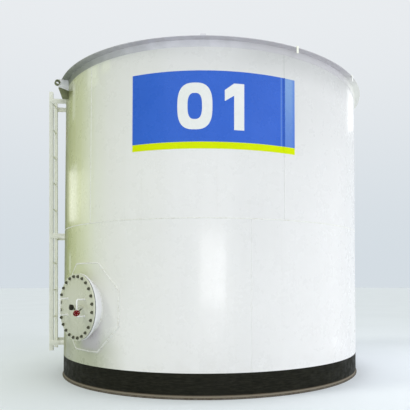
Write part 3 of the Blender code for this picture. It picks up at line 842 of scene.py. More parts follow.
def new_tree(name, inputs):
    """A tree with a geometry input and output, and the named inputs that it is given."""
    tree = bpy.data.node_groups.new(name, "GeometryNodeTree")
    tree.interface.new_socket("Geometry", in_out="INPUT", socket_type="NodeSocketGeometry")
    for label, kind, value in inputs:
        socket = tree.interface.new_socket(label, in_out="INPUT", socket_type=kind)
        if value is not None:
            socket.default_value = value
    tree.interface.new_socket("Geometry", in_out="OUTPUT", socket_type="NodeSocketGeometry")
    return tree


def grown(tree, base, values):
    """Run the tree on a mesh and give back the plain mesh that it makes."""
    holder = bpy.data.objects.new(tree.name + "_holder", base)
    modifier = holder.modifiers.new("grow", "NODES")
    modifier.node_group = tree
    for label, value in values.items():
        modifier[socket_named(tree, label)] = value
    return baked(holder)


def hand_out(tree, geometry, finish):
    """End a tree: real geometry instead of instances, and its finish."""
    real = node(tree, "GeometryNodeRealizeInstances", {"Geometry": geometry})
    coat = node(tree, "GeometryNodeSetMaterial", {"Geometry": real.outputs["Geometry"],
                                                  "Material": finish})
    node(tree, "NodeGroupOutput", {"Geometry": coat.outputs["Geometry"]})
    return tree


print("tree helpers ready")

# %% Weld bead tree
SAMPLES_PER_RIPPLE = 3.0


def weld_tree():
    tree = new_tree("weld_bead", [("Bead Radius", "NodeSocketFloat", 0.005),
                                  ("Ripple Pitch", "NodeSocketFloat", 0.012),
                                  ("Ripple Depth", "NodeSocketFloat", 0.14),
                                  ("Seed", "NodeSocketInt", 3),
                                  ("Finish", "NodeSocketMaterial", None)])
    given = node(tree, "NodeGroupInput").outputs

    def maths(operation, a, b):
        return node(tree, "ShaderNodeMath", {0: a, 1: b}, operation=operation).outputs[0]

    line = node(tree, "GeometryNodeMeshToCurve", {"Mesh": given["Geometry"]})
    steps = node(tree, "GeometryNodeResampleCurve",
                 {"Curve": line.outputs["Curve"],
                  "Length": maths("DIVIDE", given["Ripple Pitch"], SAMPLES_PER_RIPPLE)},
                 mode="LENGTH")
    turn = maths("MODULO", node(tree, "GeometryNodeInputIndex").outputs[0], SAMPLES_PER_RIPPLE)
    chance = node(tree, "FunctionNodeRandomValue", {2: 0.84, 3: 1.0, "Seed": given["Seed"]},
                  data_type="FLOAT")
    swell = node(tree, "GeometryNodeSetCurveRadius",
                 {"Curve": steps.outputs["Curve"],
                  "Radius": maths("ADD", maths("MULTIPLY", turn, given["Ripple Depth"]),
                                  chance.outputs[1])})
    section = node(tree, "GeometryNodeCurvePrimitiveCircle", {"Resolution": 7,
                                                              "Radius": given["Bead Radius"]})
    sweep = node(tree, "GeometryNodeCurveToMesh",
                 {"Curve": swell.outputs["Curve"], "Profile Curve": section.outputs["Curve"],
                  "Scale": node(tree, "GeometryNodeInputRadius").outputs[0], "Fill Caps": True})
    soft = node(tree, "GeometryNodeSetShadeSmooth", {"Geometry": sweep.outputs["Mesh"]})
    return hand_out(tree, soft.outputs["Geometry"], given["Finish"])


WELD = weld_tree()
print("weld tree", WELD.name, len(WELD.nodes), "nodes")

# %% Laying a weld
def weld(name, paths, radius, pitch=0.012, seed=3, finish=weld_white):
    """Lay a bead along each path. A path is a list of points and whether it closes."""
    points, edges = [], []
    for path, closed in paths:
        first = len(points)
        points += [tuple(p) for p in path]
        edges += [(first + i, first + i + 1) for i in range(len(path) - 1)]
        if closed:
            edges.append((len(points) - 1, first))
    wire = bpy.data.meshes.new(name + "_path")
    wire.from_pydata(points, edges, [])
    mesh = grown(WELD, wire, {"Bead Radius": radius, "Ripple Pitch": pitch, "Seed": seed,
                              "Finish": finish})
    mesh.name = name
    bm = bmesh.new()
    bm.from_mesh(mesh)
    bmesh.ops.recalc_face_normals(bm, faces=bm.faces[:])
    bm.to_mesh(mesh)
    bm.free()
    print(name, len(mesh.polygons), "faces")
    return piece(name, mesh, [finish])


def ring_path(radius, height, steps=360):
    """A level ring round the tank's axis."""
    return [outward(360 * k / steps) * radius + Vector((0, 0, height)) for k in range(steps)]


def ring_on(place, radius, x=0.0, y=0.0, steps=24):
    """A closed ring in the XY plane of a place, ready for a weld."""
    return [place @ Vector((*point, 0.0)) for point in circle(radius, x, y, steps)], True


print("a level ring has", len(ring_path(TANK_RADIUS, COURSE_HEIGHT)), "points")

# %% [markdown]
# ## Geometry Nodes tree for bolts on a circle
#
# Bolts repeat round a flange. The tree takes one finished bolt as its geometry, sets it
# on the points of a circle, and turns each one by a chance angle, because nobody lines up
# the flats of a nut. The seed is fixed, so they are the same each run.

# %% Bolt circle tree
def bolt_tree():
    tree = new_tree("bolt_circle", [("Count", "NodeSocketInt", 24),
                                    ("Circle Radius", "NodeSocketFloat", 0.28),
                                    ("First Angle", "NodeSocketFloat", 0.0),
                                    ("Seed", "NodeSocketInt", 5),
                                    ("Finish", "NodeSocketMaterial", None)])
    given = node(tree, "NodeGroupInput").outputs

    def about_z(angle):
        return node(tree, "ShaderNodeCombineXYZ", {"Z": angle}).outputs["Vector"]

    ring = node(tree, "GeometryNodeMeshCircle", {"Vertices": given["Count"],
                                                 "Radius": given["Circle Radius"]})
    shift = node(tree, "GeometryNodeTransform", {"Geometry": ring.outputs["Mesh"],
                                                 "Rotation": about_z(given["First Angle"])})
    chance = node(tree, "FunctionNodeRandomValue", {3: 6.283, "Seed": given["Seed"]},
                  data_type="FLOAT")
    spread = node(tree, "GeometryNodeInstanceOnPoints",
                  {"Points": shift.outputs["Geometry"], "Instance": given["Geometry"],
                   "Rotation": about_z(chance.outputs[1])})
    return hand_out(tree, spread.outputs["Instances"], given["Finish"])


BOLTS = bolt_tree()
print("bolt tree", BOLTS.name, len(BOLTS.nodes), "nodes")

# %% One bolt, and bolts on a circle
def bolt_mesh(across, height, stud, washer):
    """A chamfered nut with its washer below and the stud's end above."""
    hexagon = across / math.sqrt(3)
    rim = [(0.0, 0.0), (hexagon, 0.0), (hexagon, height * 0.86), (hexagon * 0.88, height),
           (stud, height), (stud, height * 1.45), (stud * 0.8, height * 1.58),
           (0.0, height * 1.58)]
    nut = turned("nut", [(r, z + 0.003) for r, z in rim], sides=6, closed=False)
    disc = turned("washer", [(0.0, 0.0), (washer, 0.0), (washer, 0.0025),
                             (washer * 0.96, 0.003), (0.0, 0.003)], sides=18, closed=False)
    return merge_meshes("bolt", [nut, disc])


def bolts(name, count, radius, first, mesh, place, finish, seed=5):
    many = grown(BOLTS, mesh, {"Count": count, "Circle Radius": radius,
                               "First Angle": math.radians(first), "Seed": seed,
                               "Finish": finish})
    many.name = name
    many.transform(place)
    print(name, count, "bolts", len(many.polygons), "faces")
    return piece(name, many, [finish])


print("bolt helpers ready")

# %% [markdown]
# ## Floor plate and shell
#
# A plate of the shell is a strip of steel bent to the tank's radius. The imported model
# bends it in flats of three degrees, which would show as stripes in gloss paint, so each
# plate is rolled again with a facet every third of a degree. The outline is the cut end
# of the plate, six millimetres thick with eased corners, and it is turned through the
# plate's own arc. The lower plates carry the black coating up to a painted line, which
# is a row of edges in the mesh, so the line stays crisp.

# %% Floor plate
lip = TANK_RADIUS + BOTTOM_LIP
floor_plate = turned("bottom_plate_smooth",
                     rounded([(0.0, BOTTOM_THICK), (lip, BOTTOM_THICK), (lip, 0.0),
                              (0.0, 0.0)], 0.0015, closed=False), sides=720, closed=False)
piece("floor_plate", floor_plate, [rust_brown], ["bottom_plate"])
print("floor plate", len(floor_plate.polygons), "faces")

# %% Shell plates
SPLIT = math.degrees(GAP / TANK_RADIUS)
FACETS_PER_DEGREE = 3


def shell_plate(name, z0, z1, start, stop, band=None):
    """One rolled plate between two azimuths, with a row of edges at the painted line."""
    r, t = TANK_RADIUS, SHELL_THICK
    outline = rounded([(r, z0), (r, z1), (r - t, z1), (r - t, z0)], 0.0006, 1)
    if band:
        outside = [p for p in outline if p[0] > r - t / 2]
        outline = ([p for p in outside if p[1] < band] + [(r, band)]
                   + [p for p in outside if p[1] > band]
                   + [p for p in outline if p[0] < r - t / 2])
    return turned(name, outline, sides=round((stop - start) * FACETS_PER_DEGREE), start=start,
                  sweep=stop - start)


def arcs_between(seams):
    """The plates' arcs: each ends at its own seam and starts at the one before."""
    return list(zip((seams[-1] - 360.0,) + seams[:-1], seams))


COURSES = (("lower", LOWER_SEAMS, BOTTOM_THICK + GAP, COURSE_HEIGHT, BAND_TOP),
           ("upper", UPPER_SEAMS, COURSE_HEIGHT + GAP, RIM_HEIGHT - CURB_LEG, None))
for course, seams, low, high, band in COURSES:
    for i, (start, stop) in enumerate(arcs_between(seams)):
        name = "%s_plate_%d" % (course, i + 1)
        mesh = shell_plate(name, low, high, start + SPLIT, stop - SPLIT, band)
        if course == "lower" and i == 0:
            mesh = bored(mesh, NECK_RADIUS + GAP, 0.12,
                         wall_frame(MAN_AZIMUTH, TANK_RADIUS, MAN_HEIGHT))
            mesh.set_sharp_from_angle(angle=SHARP_CORNER)
        piece(name, mesh, [shell_white, foot_black] if band else [shell_white],
              ["%s_shell_plate_%d" % (course, i + 1)])
        for face in mesh.polygons:
            face.material_index = 1 if band and face.center.z < band else 0
        print(name, len(mesh.polygons), "faces")

# %% [markdown]
# ## Rim angle
#
# The top of the shell is stiffened by a rolled angle, two and a half inches each way and
# six millimetres thick. One leg carries on the wall and the other sticks out level. Its
# underside, painted darker as painted shade, makes the dark line round the top of the tank
# in the photograph, and the upright leg is painted a shade greyer than the shell, as
# painted shade. The outline of the angle has a round root and round toes, as rolled steel
# has, and each face takes its finish by where it looks.

# %% Curb angle
leg_in, leg_out = TANK_RADIUS - CURB_THICK, TANK_RADIUS + CURB_LEG
leg_foot, level_leg = RIM_HEIGHT - CURB_LEG + GAP, RIM_HEIGHT - CURB_THICK
angle_outline = rounded([(TANK_RADIUS, leg_foot), (TANK_RADIUS, level_leg),
                         (leg_out, level_leg), (leg_out, RIM_HEIGHT), (leg_in, RIM_HEIGHT),
                         (leg_in, leg_foot)], 0.0022, 3)
for i, (start, stop) in enumerate(arcs_between(CURB_SEAMS)):
    name = "rim_angle_%d" % (i + 1)
    mesh = turned(name, angle_outline, sides=round((stop - start) * FACETS_PER_DEGREE),
                  start=start + SPLIT, sweep=stop - start - 2 * SPLIT)
    piece(name, mesh, [roof_white, rim_underside_shade, rim_leg_shade],
          ["curb_angle_%d" % (i + 1)])
    # Faces that look down get the underside's painted shade, the upright leg a paler painted
    # shade.
    for face in mesh.polygons:
        side = 2 if face.center.z < RIM_HEIGHT - 0.001 else 0
        face.material_index = 1 if face.normal.z < -0.6 else side
print("rim angle outline", len(angle_outline), "points")

# %% [markdown]
# ## Welds of the shell
#
# Every edge where two plates meet carries a bead: the fillet at the foot, the level weld
# between the two courses, the upright welds, and a seam under the rim angle. The middle
# of a butt weld's bead lies just inside the surface, so a little over two millimetres
# stand proud. The upright welds of each course are two pieces, because those at the left
# show and those at the right take the wall's own finish. Below the painted line they are
# black.

# %% Shell welds
BEAD_SUNK = 0.0022              # how far the middle of a butt weld lies in the plate
WELD_END = 0.004                # upright welds stop this short of the level ones


def upright(azimuth, z0, z1, distance=TANK_RADIUS - BEAD_SUNK, steps=24):
    """A line straight up the wall, ready for a weld."""
    return [outward(azimuth) * distance + Vector((0, 0, z0 + (z1 - z0) * k / steps))
            for k in range(steps + 1)], False


weld("weld_foot", [(ring_path(TANK_RADIUS + 0.0005, BOTTOM_THICK + 0.0005), True)], 0.0058,
     seed=11, finish=rust_brown)
weld("weld_level", [(ring_path(TANK_RADIUS - BEAD_SUNK, COURSE_HEIGHT), True)], 0.0046,
     seed=12)
weld("weld_rim_low", [(ring_path(TANK_RADIUS - 0.0024, RIM_HEIGHT - CURB_LEG), True)], 0.0046,
     seed=13, finish=rim_leg_shade)
lower = [upright(a, BAND_TOP, COURSE_HEIGHT - WELD_END) for a in LOWER_SEAMS]
upper = [upright(a, COURSE_HEIGHT + WELD_END, RIM_HEIGHT - CURB_LEG - WELD_END)
         for a in UPPER_SEAMS]
for side, finish in (("left", weld_white), ("right", shell_white)):
    for course, paths in (("lower", lower), ("upper", upper)):
        weld("weld_upright_%s_%s" % (course, side),
             [path for path in paths if (path[0][0].x < 0) == (side == "left")], 0.0048,
             seed=14, finish=finish)
weld("weld_upright_foot", [upright(a, BOTTOM_THICK + WELD_END, BAND_TOP)
                           for a in LOWER_SEAMS], 0.0048, seed=16, finish=foot_black)

# %% [markdown]
# ## Roof
#
# The roof is a shallow cone of four gores. Rainwater has to run off, so it rises eleven
# centimetres to a crown plate in the middle. From the ground only its edge shows, but the
# tank is also looked at from above. The gores are turned like the shell, and the one
# that carries the hatch has its opening cut.

# %% Roof gores and crown
ROOF_FOOT = RIM_HEIGHT + GAP
ROOF_SLOPE = ROOF_RISE / (ROOF_RADIUS - ROOF_HOLE)
VENT_HOLE = 0.0453
hatch_base = outward(HATCH_AZIMUTH) * HATCH_DISTANCE


def gore(name, start, stop):
    """A quarter of the cone, with rings of edges from the crown to the rim."""
    outline = []
    for k in range(13):
        t = k / 12
        outline.append((ROOF_HOLE + (ROOF_RADIUS - ROOF_HOLE) * t,
                        ROOF_FOOT + ROOF_RISE * (1 - t)))
    slab = [(r, z + ROOF_THICK) for r, z in outline] + outline[::-1]
    return turned(name, slab, sides=round((stop - start) * 2), start=start, sweep=stop - start)


for i, seam in enumerate(ROOF_SEAMS):
    name, stop = "roof_gore_%d" % (i + 1), ROOF_SEAMS[(i + 1) % 4] + (360 if i == 3 else 0)
    mesh = gore(name, seam + SPLIT, stop - SPLIT)
    if i == 0:
        mesh = bored(mesh, HATCH_RADIUS + GAP, 0.4, Matrix.Translation(
            (hatch_base.x, hatch_base.y, RIM_HEIGHT + 0.1)))
    piece(name, mesh, [roof_white], ["roof_plate_%d" % (i + 1)])
crown_z = ROOF_FOOT + ROOF_RISE + ROOF_THICK + 2 * GAP
crown_edge = crown_z - (CROWN_RADIUS - ROOF_HOLE) * ROOF_SLOPE
crown = turned("roof_crown", rounded(
    [(VENT_HOLE, crown_z + ROOF_THICK + 0.003), (ROOF_HOLE, crown_z + ROOF_THICK),
     (CROWN_RADIUS, crown_edge + ROOF_THICK), (CROWN_RADIUS, crown_edge),
     (ROOF_HOLE, crown_z), (VENT_HOLE, crown_z + 0.003)], 0.0012, 2), sides=144)
piece("roof_crown", crown, [roof_white], ["roof_crown_plate"])
print("roof rise", ROOF_RISE, "slope", round(ROOF_SLOPE, 4))

# %% Roof welds
def roof_z(radius):
    """Height of the roof's top, at a distance from the axis."""
    return ROOF_FOOT + ROOF_THICK + ROOF_RISE * (ROOF_RADIUS - radius) / (ROOF_RADIUS
                                                                          - ROOF_HOLE)


def gore_seam(azimuth, steps=24):
    """A line down the slope from the crown plate to the rim, ready for a weld."""
    start, stop = CROWN_RADIUS + 0.002, ROOF_RADIUS - 0.004
    radii = [start + (stop - start) * k / steps for k in range(steps + 1)]
    return [outward(azimuth) * r + Vector((0, 0, roof_z(r) - 0.0018)) for r in radii], False


weld("weld_roof_seams", [gore_seam(a) for a in ROOF_SEAMS], 0.0045, seed=21,
     finish=roof_white)
weld("weld_roof_edge", [(ring_path(ROOF_RADIUS, ROOF_FOOT + 0.001), True)], 0.0042, seed=22,
     finish=roof_white)
weld("weld_crown", [(ring_path(CROWN_RADIUS + 0.001, crown_edge + 0.001, 120), True)], 0.0045,
     seed=23, finish=roof_white)

# %% [markdown]
# ## Vent and hatch on the roof
#
# A tank has to breathe when it is filled or emptied. A bent pipe does it: its mouth turns
# down so that rain can't enter. The pipe has a real wall: rings are set along its path,
# outside and inside, and joined at both mouths. The hatch is a round neck with a cap lid.
# A lid of that size has a hinge and a lifting bow, so it gets both.

# %% Vent pipe
VENT_RADIUS, VENT_WALL, VENT_BEND, VENT_FOOT = 0.045, 0.004, 0.085, 3.120
VENT_RISE, VENT_DROP = 3.360, 0.060


def vent_path():
    up, across = Vector((0, 0, 1)), Vector((0, 1, 0))
    centre = Vector((0, VENT_BEND, VENT_RISE))
    path = [Vector((0, 0, VENT_FOOT)), Vector((0, 0, VENT_FOOT + 0.12))]
    path += bend(centre, -across, up, VENT_BEND, 12) + bend(centre, up, across, VENT_BEND, 12)[1:]
    path.append(Vector((0, 2 * VENT_BEND, VENT_RISE - VENT_DROP)))
    return path


def pipe(name, path, outer, wall, sides=40):
    """A pipe in the YZ plane with an outer and an inner skin, joined at both mouths."""
    bm = bmesh.new()
    side = Vector((1, 0, 0))
    rings = []
    for i, p in enumerate(path):
        ahead = path[min(i + 1, len(path) - 1)] - path[max(i - 1, 0)]
        across = ahead.normalized().cross(side)
        rings.append([[bm.verts.new(p + (side * x + across * y) * radius)
                       for x, y in circle(1.0, steps=sides)]
                      for radius in (outer, outer - wall)])
    strips = [(a[skin], b[skin]) for a, b in zip(rings, rings[1:]) for skin in (0, 1)]
    for a, b in strips + [rings[0], rings[-1]]:
        for k in range(sides):
            j = (k + 1) % sides
            bm.faces.new((a[k], a[j], b[j], b[k]))
    return finish_mesh(bm, name)


vent = pipe("vent_gooseneck", vent_path(), VENT_RADIUS, VENT_WALL)
piece("vent_gooseneck", vent, [roof_white], ["roof_vent_pipe"])
weld("weld_vent", [(ring_path(VENT_RADIUS + 0.001, crown_z + ROOF_THICK + 0.003, 48), True)],
     0.0045, seed=24, finish=roof_white)
print("vent mouth faces down at", [round(v, 3) for v in vent_path()[-1]])

# %% Roof hatch
HATCH_WALL, HATCH_FOOT, LID_OVERHANG, LID_SKIRT = 0.006, 3.060, 0.022, 0.040
BOW_HALF, BOW_RISE, BOW_BEND = 0.070, 0.040, 0.015
hatch_frame = Matrix.Translation(hatch_base)
rh = HATCH_RADIUS
neck = turned("hatch_neck", rounded([(rh, HATCH_TOP), (rh, HATCH_FOOT),
                                     (rh - HATCH_WALL, HATCH_FOOT),
                                     (rh - HATCH_WALL, HATCH_TOP)], 0.0015, 2), sides=120,
              place=hatch_frame)
piece("hatch_neck", neck, [roof_white], ["roof_hatch_neck"])
lid_r, lid_top, lid_low = rh + LID_OVERHANG, HATCH_TOP + 0.020, HATCH_TOP - LID_SKIRT
lid_outline = [(0.0, lid_top), (0.08, lid_top - 0.0006), (0.16, lid_top - 0.0045),
               (0.22, lid_top - 0.0095), (lid_r, HATCH_TOP + 0.006), (lid_r, lid_low),
               (lid_r - HATCH_WALL, lid_low), (lid_r - HATCH_WALL, HATCH_TOP + GAP),
               (0.0, HATCH_TOP + GAP)]
lid = turned("hatch_lid", rounded(lid_outline, 0.003, 3, closed=False), sides=120,
             closed=False, place=hatch_frame)
piece("hatch_lid", lid, [roof_white], ["roof_hatch_lid"])
print("hatch lid radius", lid_r)

# %% Bow and hinge of the hatch
up, bow_side = Vector((0, 0, 1)), outward(HATCH_AZIMUTH + 90)
bow_foot = hatch_base + up * (lid_top - 0.004)
bow = [bow_foot - bow_side * BOW_HALF]
for sign, start, end in ((-1, -bow_side, up), (1, up, bow_side)):
    bow += bend(bow_foot + bow_side * (sign * (BOW_HALF - BOW_BEND)) + up * BOW_RISE, start,
                end, BOW_BEND, 5)
bow.append(bow_foot + bow_side * BOW_HALF)
piece("hatch_lifting_bow", bar("hatch_lifting_bow", bow, 0.006), [roof_white])
hinge_out = outward(HATCH_AZIMUTH + 180)
hinge_at = hatch_base + hinge_out * (lid_r + 0.008) + up * (HATCH_TOP - 0.012)
hinge = merge_meshes("hatch_hinge", [
    bar("pin", [hinge_at - bow_side * 0.045, hinge_at + bow_side * 0.045], 0.0075),
    cut_plate("leaf", rounded([(-0.032, -0.026), (0.032, -0.026), (0.032, 0.012),
                               (-0.032, 0.012)], 0.004, 3), 0.005,
              place=axes_frame(bow_side, up, hinge_out, hinge_at - hinge_out * 0.004))])
piece("hatch_hinge", hinge, [roof_white])
weld("weld_hatch", [([hatch_base + outward(6 * k) * (rh + 0.001)
                      + Vector((0, 0, roof_z((hatch_base + outward(6 * k) * rh).length)))
                      for k in range(60)], True)], 0.005, seed=25, finish=roof_white)

# %% [markdown]
# ## Manhole
#
# The manhole lets a person in to clean the tank. It has an eight-sided stiffening pad
# welded round the opening, a short neck, a flange, a rubber joint and a thick cover held
# by twenty-four nuts. The pad follows the curve of the wall: its outline is drawn flat,
# and every point of a grid inside it is lifted onto the cylinder. Turned pieces make the
# rest.

# %% Plate that follows the wall
PAD_CORNER, PAD_EASE = 0.018, 0.0015


def on_wall(u, v, lift):
    """A point of the flat manhole drawing, set on the shell."""
    r = TANK_RADIUS + lift
    return wall_frame(MAN_AZIMUTH, 0.0, MAN_HEIGHT) @ Vector((u, v, math.sqrt(r * r - u * u)))


def around(outline, steps):
    """Even points along each side of a closed outline."""
    points = []
    for i, a in enumerate(outline):
        b = outline[(i + 1) % len(outline)]
        points += [(a[0] + (b[0] - a[0]) * k / steps, a[1] + (b[1] - a[1]) * k / steps)
                   for k in range(steps)]
    return points


def wall_pad(name, outline, hole, thick, rows=14):
    """A plate with a round hole, from rings of points between its edge and the hole."""
    flat = []
    for layer in range(rows + 1):
        mix = layer / rows
        flat.append([])
        for x, y in outline:
            a = math.atan2(y, x)
            flat[-1].append((x + (hole * math.cos(a) - x) * mix,
                             y + (hole * math.sin(a) - y) * mix))
    bm = bmesh.new()

    def lifted(points, lift, scale=1.0):
        return [bm.verts.new(on_wall(u * scale, v * scale, lift)) for u, v in points]

    order = [lifted(flat[0], GAP), lifted(flat[0], thick - PAD_EASE),
             lifted(flat[0], thick, 0.996)]
    order += [lifted(points, thick) for points in flat[1:]] + [lifted(flat[-1], GAP)]
    for a, b in zip(order, order[1:] + order[:1]):
        for k in range(len(outline)):
            j = (k + 1) % len(outline)
            bm.faces.new((a[k], a[j], b[j], b[k]))
    return finish_mesh(bm, name)


print("the pad's middle stands at", [round(v, 3) for v in on_wall(0.0, 0.0, PAD_THICK)])

# %% Pad
w, h, s, t = PAD_HALF_WIDTH, PAD_HALF_HEIGHT, PAD_SIDE, PAD_TOP
octagon = [(w, -s), (w, s), (t, h), (-t, h), (-w, s), (-w, -s), (-t, -h), (t, -h)]
pad = wall_pad("manhole_reinforcing_pad", around(rounded(octagon, PAD_CORNER, 4), 4),
               NECK_RADIUS + GAP, PAD_THICK)
piece("manhole_reinforcing_pad", pad, [shell_white], ["manhole_pad"])
print("pad", len(pad.polygons), "faces")

# %% Neck, flange, joint and cover
front = TANK_RADIUS + COVER_FACE
cover_back = front - COVER_THICK
joint_back = cover_back - GAP - GASKET_THICK
flange_back = joint_back - GAP - FLANGE_THICK


def ring(name, outer, inner, level, thick, edge, finish, slot, node_name):
    """A turned ring on the manhole's axis, from its level outwards."""
    mesh = turned(name, rounded([(outer, thick), (outer, 0), (inner, 0), (inner, thick)],
                                edge, 3), sides=144,
                  place=wall_frame(MAN_AZIMUTH, level, MAN_HEIGHT))
    piece(name, mesh, [finish], [node_name])


ring("neck_tube", NECK_RADIUS, NECK_RADIUS - NECK_THICK, NECK_INNER_END,
     flange_back + FLANGE_THICK - 0.003 - NECK_INNER_END, 0.001, neck_white, "white_paint",
     "manhole_neck")
ring("neck_flange", FLANGE_RADIUS, NECK_RADIUS + GAP, flange_back, FLANGE_THICK, 0.0015,
     neck_white, "white_paint", "manhole_flange")
ring("joint_ring", FLANGE_RADIUS - 0.003, NECK_RADIUS + 0.0043, joint_back, GASKET_THICK,
     0.0005, joint_rubber, "gasket_rubber", "manhole_gasket")
c = FLANGE_RADIUS
cover_outline = [(0.0, COVER_THICK), (c * 0.5, COVER_THICK), (c - 0.0015, COVER_THICK),
                 (c, COVER_THICK - 0.0015), (c, 0.0040), (c - 0.0015, 0.0), (0.0, 0.0)]
cover = turned("cover_disc", rounded(cover_outline, 0.0008, 2, closed=False), sides=144,
               closed=False, place=wall_frame(MAN_AZIMUTH, cover_back, MAN_HEIGHT))
piece("cover_disc", cover, [fitting_white, joint_rubber], ["manhole_cover"])
facing = wall_frame(MAN_AZIMUTH, 0.0, MAN_HEIGHT).inverted()
for face in cover.polygons:
    at = facing @ face.center
    face.material_index = 1 if at.z < cover_back + 0.0025 and at.xy.length > c - 0.004 else 0
print("cover front at", round(front, 4), "from the axis")

# %% Cover bolts and their far ends
BOLT_COUNT, BOLT_CIRCLE, FIRST_BOLT = 24, 0.280, 7.5
NUT_ACROSS, WASHER_RADIUS = 0.024, 0.0150
nut = bolt_mesh(NUT_ACROSS, 0.0105, 0.0065, WASHER_RADIUS)
bolts("cover_nuts", BOLT_COUNT, BOLT_CIRCLE, FIRST_BOLT, nut,
      wall_frame(MAN_AZIMUTH, front - 0.0002, MAN_HEIGHT), bolt_dark)
head = bolt_mesh(NUT_ACROSS, 0.0095, 0.004, WASHER_RADIUS)
behind = wall_frame(MAN_AZIMUTH, flange_back + 0.0002, MAN_HEIGHT)
bolts("flange_bolt_heads", BOLT_COUNT, BOLT_CIRCLE, FIRST_BOLT, head,
      behind @ Matrix.Rotation(math.pi, 4, "Y"), neck_white, seed=8)

# %% Manhole welds
weld("weld_pad", [([on_wall(x, y, 0.0012)
                    for x, y in around(rounded(octagon, PAD_CORNER, 3), 8)], True)], 0.0075,
     pitch=0.010, seed=31)
weld("weld_neck", [([on_wall(x, y, PAD_THICK) for x, y in circle(NECK_RADIUS, steps=120)],
                    True)], 0.0080, pitch=0.010, seed=32)
weld("weld_flange", [ring_on(wall_frame(MAN_AZIMUTH, flange_back - 0.0005, MAN_HEIGHT),
                             NECK_RADIUS + 0.0005, steps=120)], 0.0065, pitch=0.010, seed=33)

# %% [markdown]
# ## Handles on the cover
#
# The cover weighs about forty kilograms, so it has two handles of bent round bar. Each
# is one curve with a bevel, and a ring of weld metal sits at each foot.

# %% Cover handles
HANDLE_OFFSET, HANDLE_HALF, HANDLE_REACH = 0.150, 0.075, 0.077
HANDLE_BEND, HANDLE_BAR = 0.018, 0.0078
handle_feet = []
on_cover = wall_frame(MAN_AZIMUTH, front + GAP, MAN_HEIGHT)
for side, label in ((-1, "left"), (1, "right")):
    x, r = side * HANDLE_OFFSET, HANDLE_BEND
    rise, fwd = Vector((0, 1, 0)), Vector((0, 0, 1))
    path = [Vector((x, HANDLE_HALF, 0)), Vector((x, HANDLE_HALF, 0.03))]
    path += bend(Vector((x, HANDLE_HALF - r, HANDLE_REACH - r)), rise, fwd, r)
    path += bend(Vector((x, r - HANDLE_HALF, HANDLE_REACH - r)), fwd, -rise, r)
    path += [Vector((x, -HANDLE_HALF, 0.03)), Vector((x, -HANDLE_HALF, 0))]
    piece("handle_bow_" + label, bar("handle_bow_" + label, path, HANDLE_BAR, 20, on_cover),
          [bow_white], ["cover_handle_" + label])
    handle_feet += [ring_on(on_cover, HANDLE_BAR + 0.0005, x, y)
                    for y in (-HANDLE_HALF, HANDLE_HALF)]
weld("weld_handles", handle_feet, 0.0034, pitch=0.006, seed=34)
print("handle feet", len(handle_feet))

# %% [markdown]
# ## Drain valve
#
# A small bronze valve stands on the cover beside the right handle. Its stem passes over
# the handle's grip, leans down to the right and carries a red wheel, and its outlet is
# closed by an iron plug. The body is a row of turned shapes along the outlet, painted
# with the cover up to its iron neck, and the bonnet is turned along the stem. Only the
# wheel turns, so it rides on its own body, and it is modelled apart: a scalloped ring, a
# thin web with five holes, a boss, and a short bar let into the ring to turn it by.

# %% Where the valve stands
VALVE_ASIDE, VALVE_RAISED, VALVE_AXIS_OUT = 0.105, 0.006, 0.0846
VALVE_TILT, VALVE_LIFT = -26.8, 11.2
BODY_LENGTH, PLUG_RADIUS, PLUG_LENGTH = 0.0989, 0.029, 0.015
WHEEL_REACH, HUB_TAIL = 0.1078, 0.0335


def valve_frames():
    """The valve's foot on the cover, with Z out, and its stem, with Z along it."""
    foot = on_cover @ Matrix.Translation((VALVE_ASIDE, VALVE_RAISED, 0.0))
    sideways, rise, out = (foot.col[i].to_3d() for i in range(3))
    tilt, lift = math.radians(VALVE_TILT), math.radians(VALVE_LIFT)
    along = sideways * math.cos(tilt) + rise * math.sin(tilt)
    stem = along * math.cos(lift) + out * math.sin(lift)
    side = out * math.cos(lift) - along * math.sin(lift)
    return foot, axes_frame(side, stem.cross(side), stem, foot @ Vector((0, 0, VALVE_AXIS_OUT)))


valve_base, stem_axes = valve_frames()
print("valve origin", [round(v, 3) for v in stem_axes.translation])

# %% Valve body
bl = BODY_LENGTH
body_outline = [(0.0, bl), (0.0215, bl), (0.0235, bl - 0.002), (0.0235, bl - 0.007),
                (0.0215, bl - 0.009), (0.0238, bl - 0.011), (0.0240, bl - 0.015),
                (0.0238, bl - 0.022), (0.0215, bl - 0.026), (0.0225, bl - 0.028),
                (0.0200, bl - 0.032), (0.0135, bl - 0.034), (0.0132, 0.013), (0.0165, 0.0105),
                (0.0175, 0.0095), (0.0175, 0.0), (0.0, 0.0)]
body = turned("body", rounded(body_outline, 0.0010, 2, closed=False), sides=48, closed=False,
              place=valve_base)
bonnet_end = WHEEL_REACH - HUB_TAIL - 0.0005
bonnet_outline = [(0.0, bonnet_end), (0.0070, bonnet_end), (0.0088, 0.0730), (0.0088, 0.0665),
                  (0.0068, 0.0645), (0.0068, 0.0400), (0.0078, 0.0380), (0.0078, 0.0),
                  (0.0, 0.0)]
bonnet = turned("bonnet", rounded(bonnet_outline, 0.0008, 2, closed=False), sides=40,
                closed=False, place=stem_axes)
gland = turned("gland", [(0.0, 0.0662), (0.0094, 0.0662), (0.0102, 0.0668), (0.0102, 0.0712),
                         (0.0092, 0.0720), (0.0, 0.0720)], sides=6, closed=False,
               place=stem_axes)
valve = merge_meshes("drain_valve_body", [body, bonnet, gland])
piece("drain_valve_body", valve, [valve_bronze, fitting_white, plug_iron, bonnet_beige],
      ["valve_body"])
along_outlet, along_stem = valve_base.inverted(), stem_axes.inverted()
for face in valve.polygons:
    if face.index < len(body.polygons):
        face.material_index = 1 if (along_outlet @ face.center).z < bl - 0.0095 else 2
    else:
        face.material_index = 0 if (along_stem @ face.center).z < 0.058 else 3
print("valve body", len(valve.polygons), "faces")

